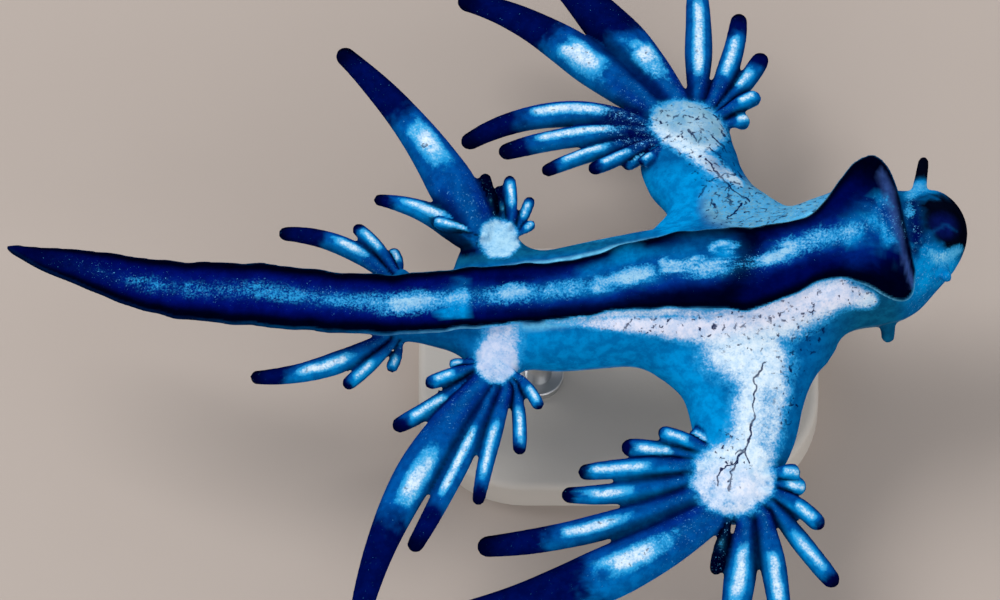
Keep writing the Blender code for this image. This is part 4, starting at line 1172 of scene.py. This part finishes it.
def standPaint():
    s = Shader("standPaint")
    cloud = s.noise(350, 3.0, 0.5)
    s.fill(s.surface, Base_Color=s.blend(s.times(cloud, 0.25), tone(206, 199, 190),
                                         tone(190, 182, 174)),
           Roughness=s.plus(0.42, s.times(cloud, 0.2)))
    s.relief(s.noise(9000, 2.0, 0.5), 0.15, 0.00003)
    return s.material


def rodMetal():
    s = Shader("rodMetal")
    stretched = s.node("ShaderNodeMapping", Vector=s.where, Scale=(1.0, 1.0, 12.0))
    turned = s.noise(1500, 2.0, 0.5, where=stretched.outputs["Vector"])
    s.fill(s.surface, Metallic=1.0, Base_Color=s.blend(turned, tone(196, 198, 200),
                                                       tone(224, 224, 224)),
           Roughness=s.plus(0.24, s.times(turned, 0.18)))
    return s.material


def buildStand():
    thick = standShape["thick"]
    bm = bmesh.new()
    bmesh.ops.create_cube(bm, size=1.0)
    bmesh.ops.scale(bm, verts=bm.verts, vec=(standShape["length"], standShape["depth"], thick))
    bmesh.ops.translate(bm, verts=bm.verts, vec=(0, 0, thick / 2))
    corners = [e for e in bm.edges if abs(e.verts[0].co.z - e.verts[1].co.z) > 0.5]
    bevelled(bm, corners, standShape["corner"], 14)
    rim = [e for e in bm.edges if all(v.co.z > thick / 2 for v in e.verts)]
    bevelled(bm, rim, standShape["edge"], 4)
    base = solidObject("standBase", bm, standPaint())
    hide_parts("stand_base")
    metal = rodMetal()
    for name, node, x in (("standRodFront", "stand_rod_front", standShape["rods"][0]),
                          ("standRodRear", "stand_rod_rear", standShape["rods"][1])):
        y, half, top, backDepth = read(trunkTable, x)
        low, high = thick - standShape["rodSunk"], axisHeight - backDepth + standShape["rodIn"]
        bm = bmesh.new()
        for wide, end in ((standShape["rodWidth"], high),
                          (standShape["collarWidth"], thick + standShape["collarHeight"])):
            cone = bmesh.ops.create_cone(bm, cap_ends=True, segments=40, radius1=wide / 2,
                                         radius2=wide / 2, depth=end - low)
            bmesh.ops.translate(bm, verts=cone["verts"], vec=(x, y, (low + end) / 2))
        edges = [e for e in bm.edges if all(v.co.z > low + 0.1 for v in e.verts)
                 and abs(e.verts[0].co.z - e.verts[1].co.z) < 0.01]
        bevelled(bm, edges, standShape["rodEdge"], 3)
        made = solidObject(name, bm, metal)
        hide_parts(node)


buildStand()
print("stand built")


def buildStage():
    s = Shader("paleFloor")
    s.fill(s.surface, Base_Color=s.blend(s.noise(60, 3.0, 0.5), tone(186, 174, 165),
                                         tone(178, 165, 156)),
           Roughness=0.9, Specular_IOR_Level=0.1)
    bm = bmesh.new()
    bmesh.ops.create_grid(bm, x_segments=2, y_segments=2, size=1.5)
    mesh = meshFrom(bm, "floor")
    mesh.materials.append(s.material)
    floor = sceneObject("floor", mesh)


lightShape = {
    # name, x, y, z in mm from the slug's middle, size in mm, watts
    "lamps": (("key", (-140, 110, 260), 170, 0.50), ("fill", (120, -260, 130), 260, 0.34),
              ("rim", (60, 320, 90), 200, 0.14)),
    "skyColour": (0.93, 0.96, 1.0, 1.0),
    "sky": 0.58,
}


def buildLights():
    for name, place, size, power in lightShape["lamps"]:
        lamp = bpy.data.lights.new(name, "AREA")
        lamp.shape = "DISK"
        lamp.size = size * mm
        lamp.energy = power
        made = sceneObject(name, lamp)
        made.location = Vector(place) * mm + Vector((0, 0, axisHeight * mm))
        made.rotation_euler = (-Vector(place)).to_track_quat("-Z", "Y").to_euler()
    world = bpy.data.worlds.new("studio")
    bpy.context.scene.world = world
    world.use_nodes = True
    sky = world.node_tree.nodes["Background"].inputs
    sky["Color"].default_value = lightShape["skyColour"]
    sky["Strength"].default_value = lightShape["sky"]


cameraShape = {"aim": (-4.444, 0.0, 7.5), "away": 420.0, "wide": 37.04, "sensor": 36.0}


def buildCamera():
    data = bpy.data.cameras.new("camera")
    data.sensor_width = cameraShape["sensor"]
    data.lens = cameraShape["sensor"] * cameraShape["away"] / cameraShape["wide"]
    data.clip_start = 0.01
    made = sceneObject("camera", data)
    made.location = (Vector(cameraShape["aim"]) + Vector(eye) * cameraShape["away"]) * mm
    made.rotation_euler = (radians(90 - cameraLift), 0, 0)
    bpy.context.scene.camera = made


buildStage()
buildLights()
buildCamera()
bpy.context.scene.view_settings.view_transform = "Standard"
print("stage, lights and camera set")
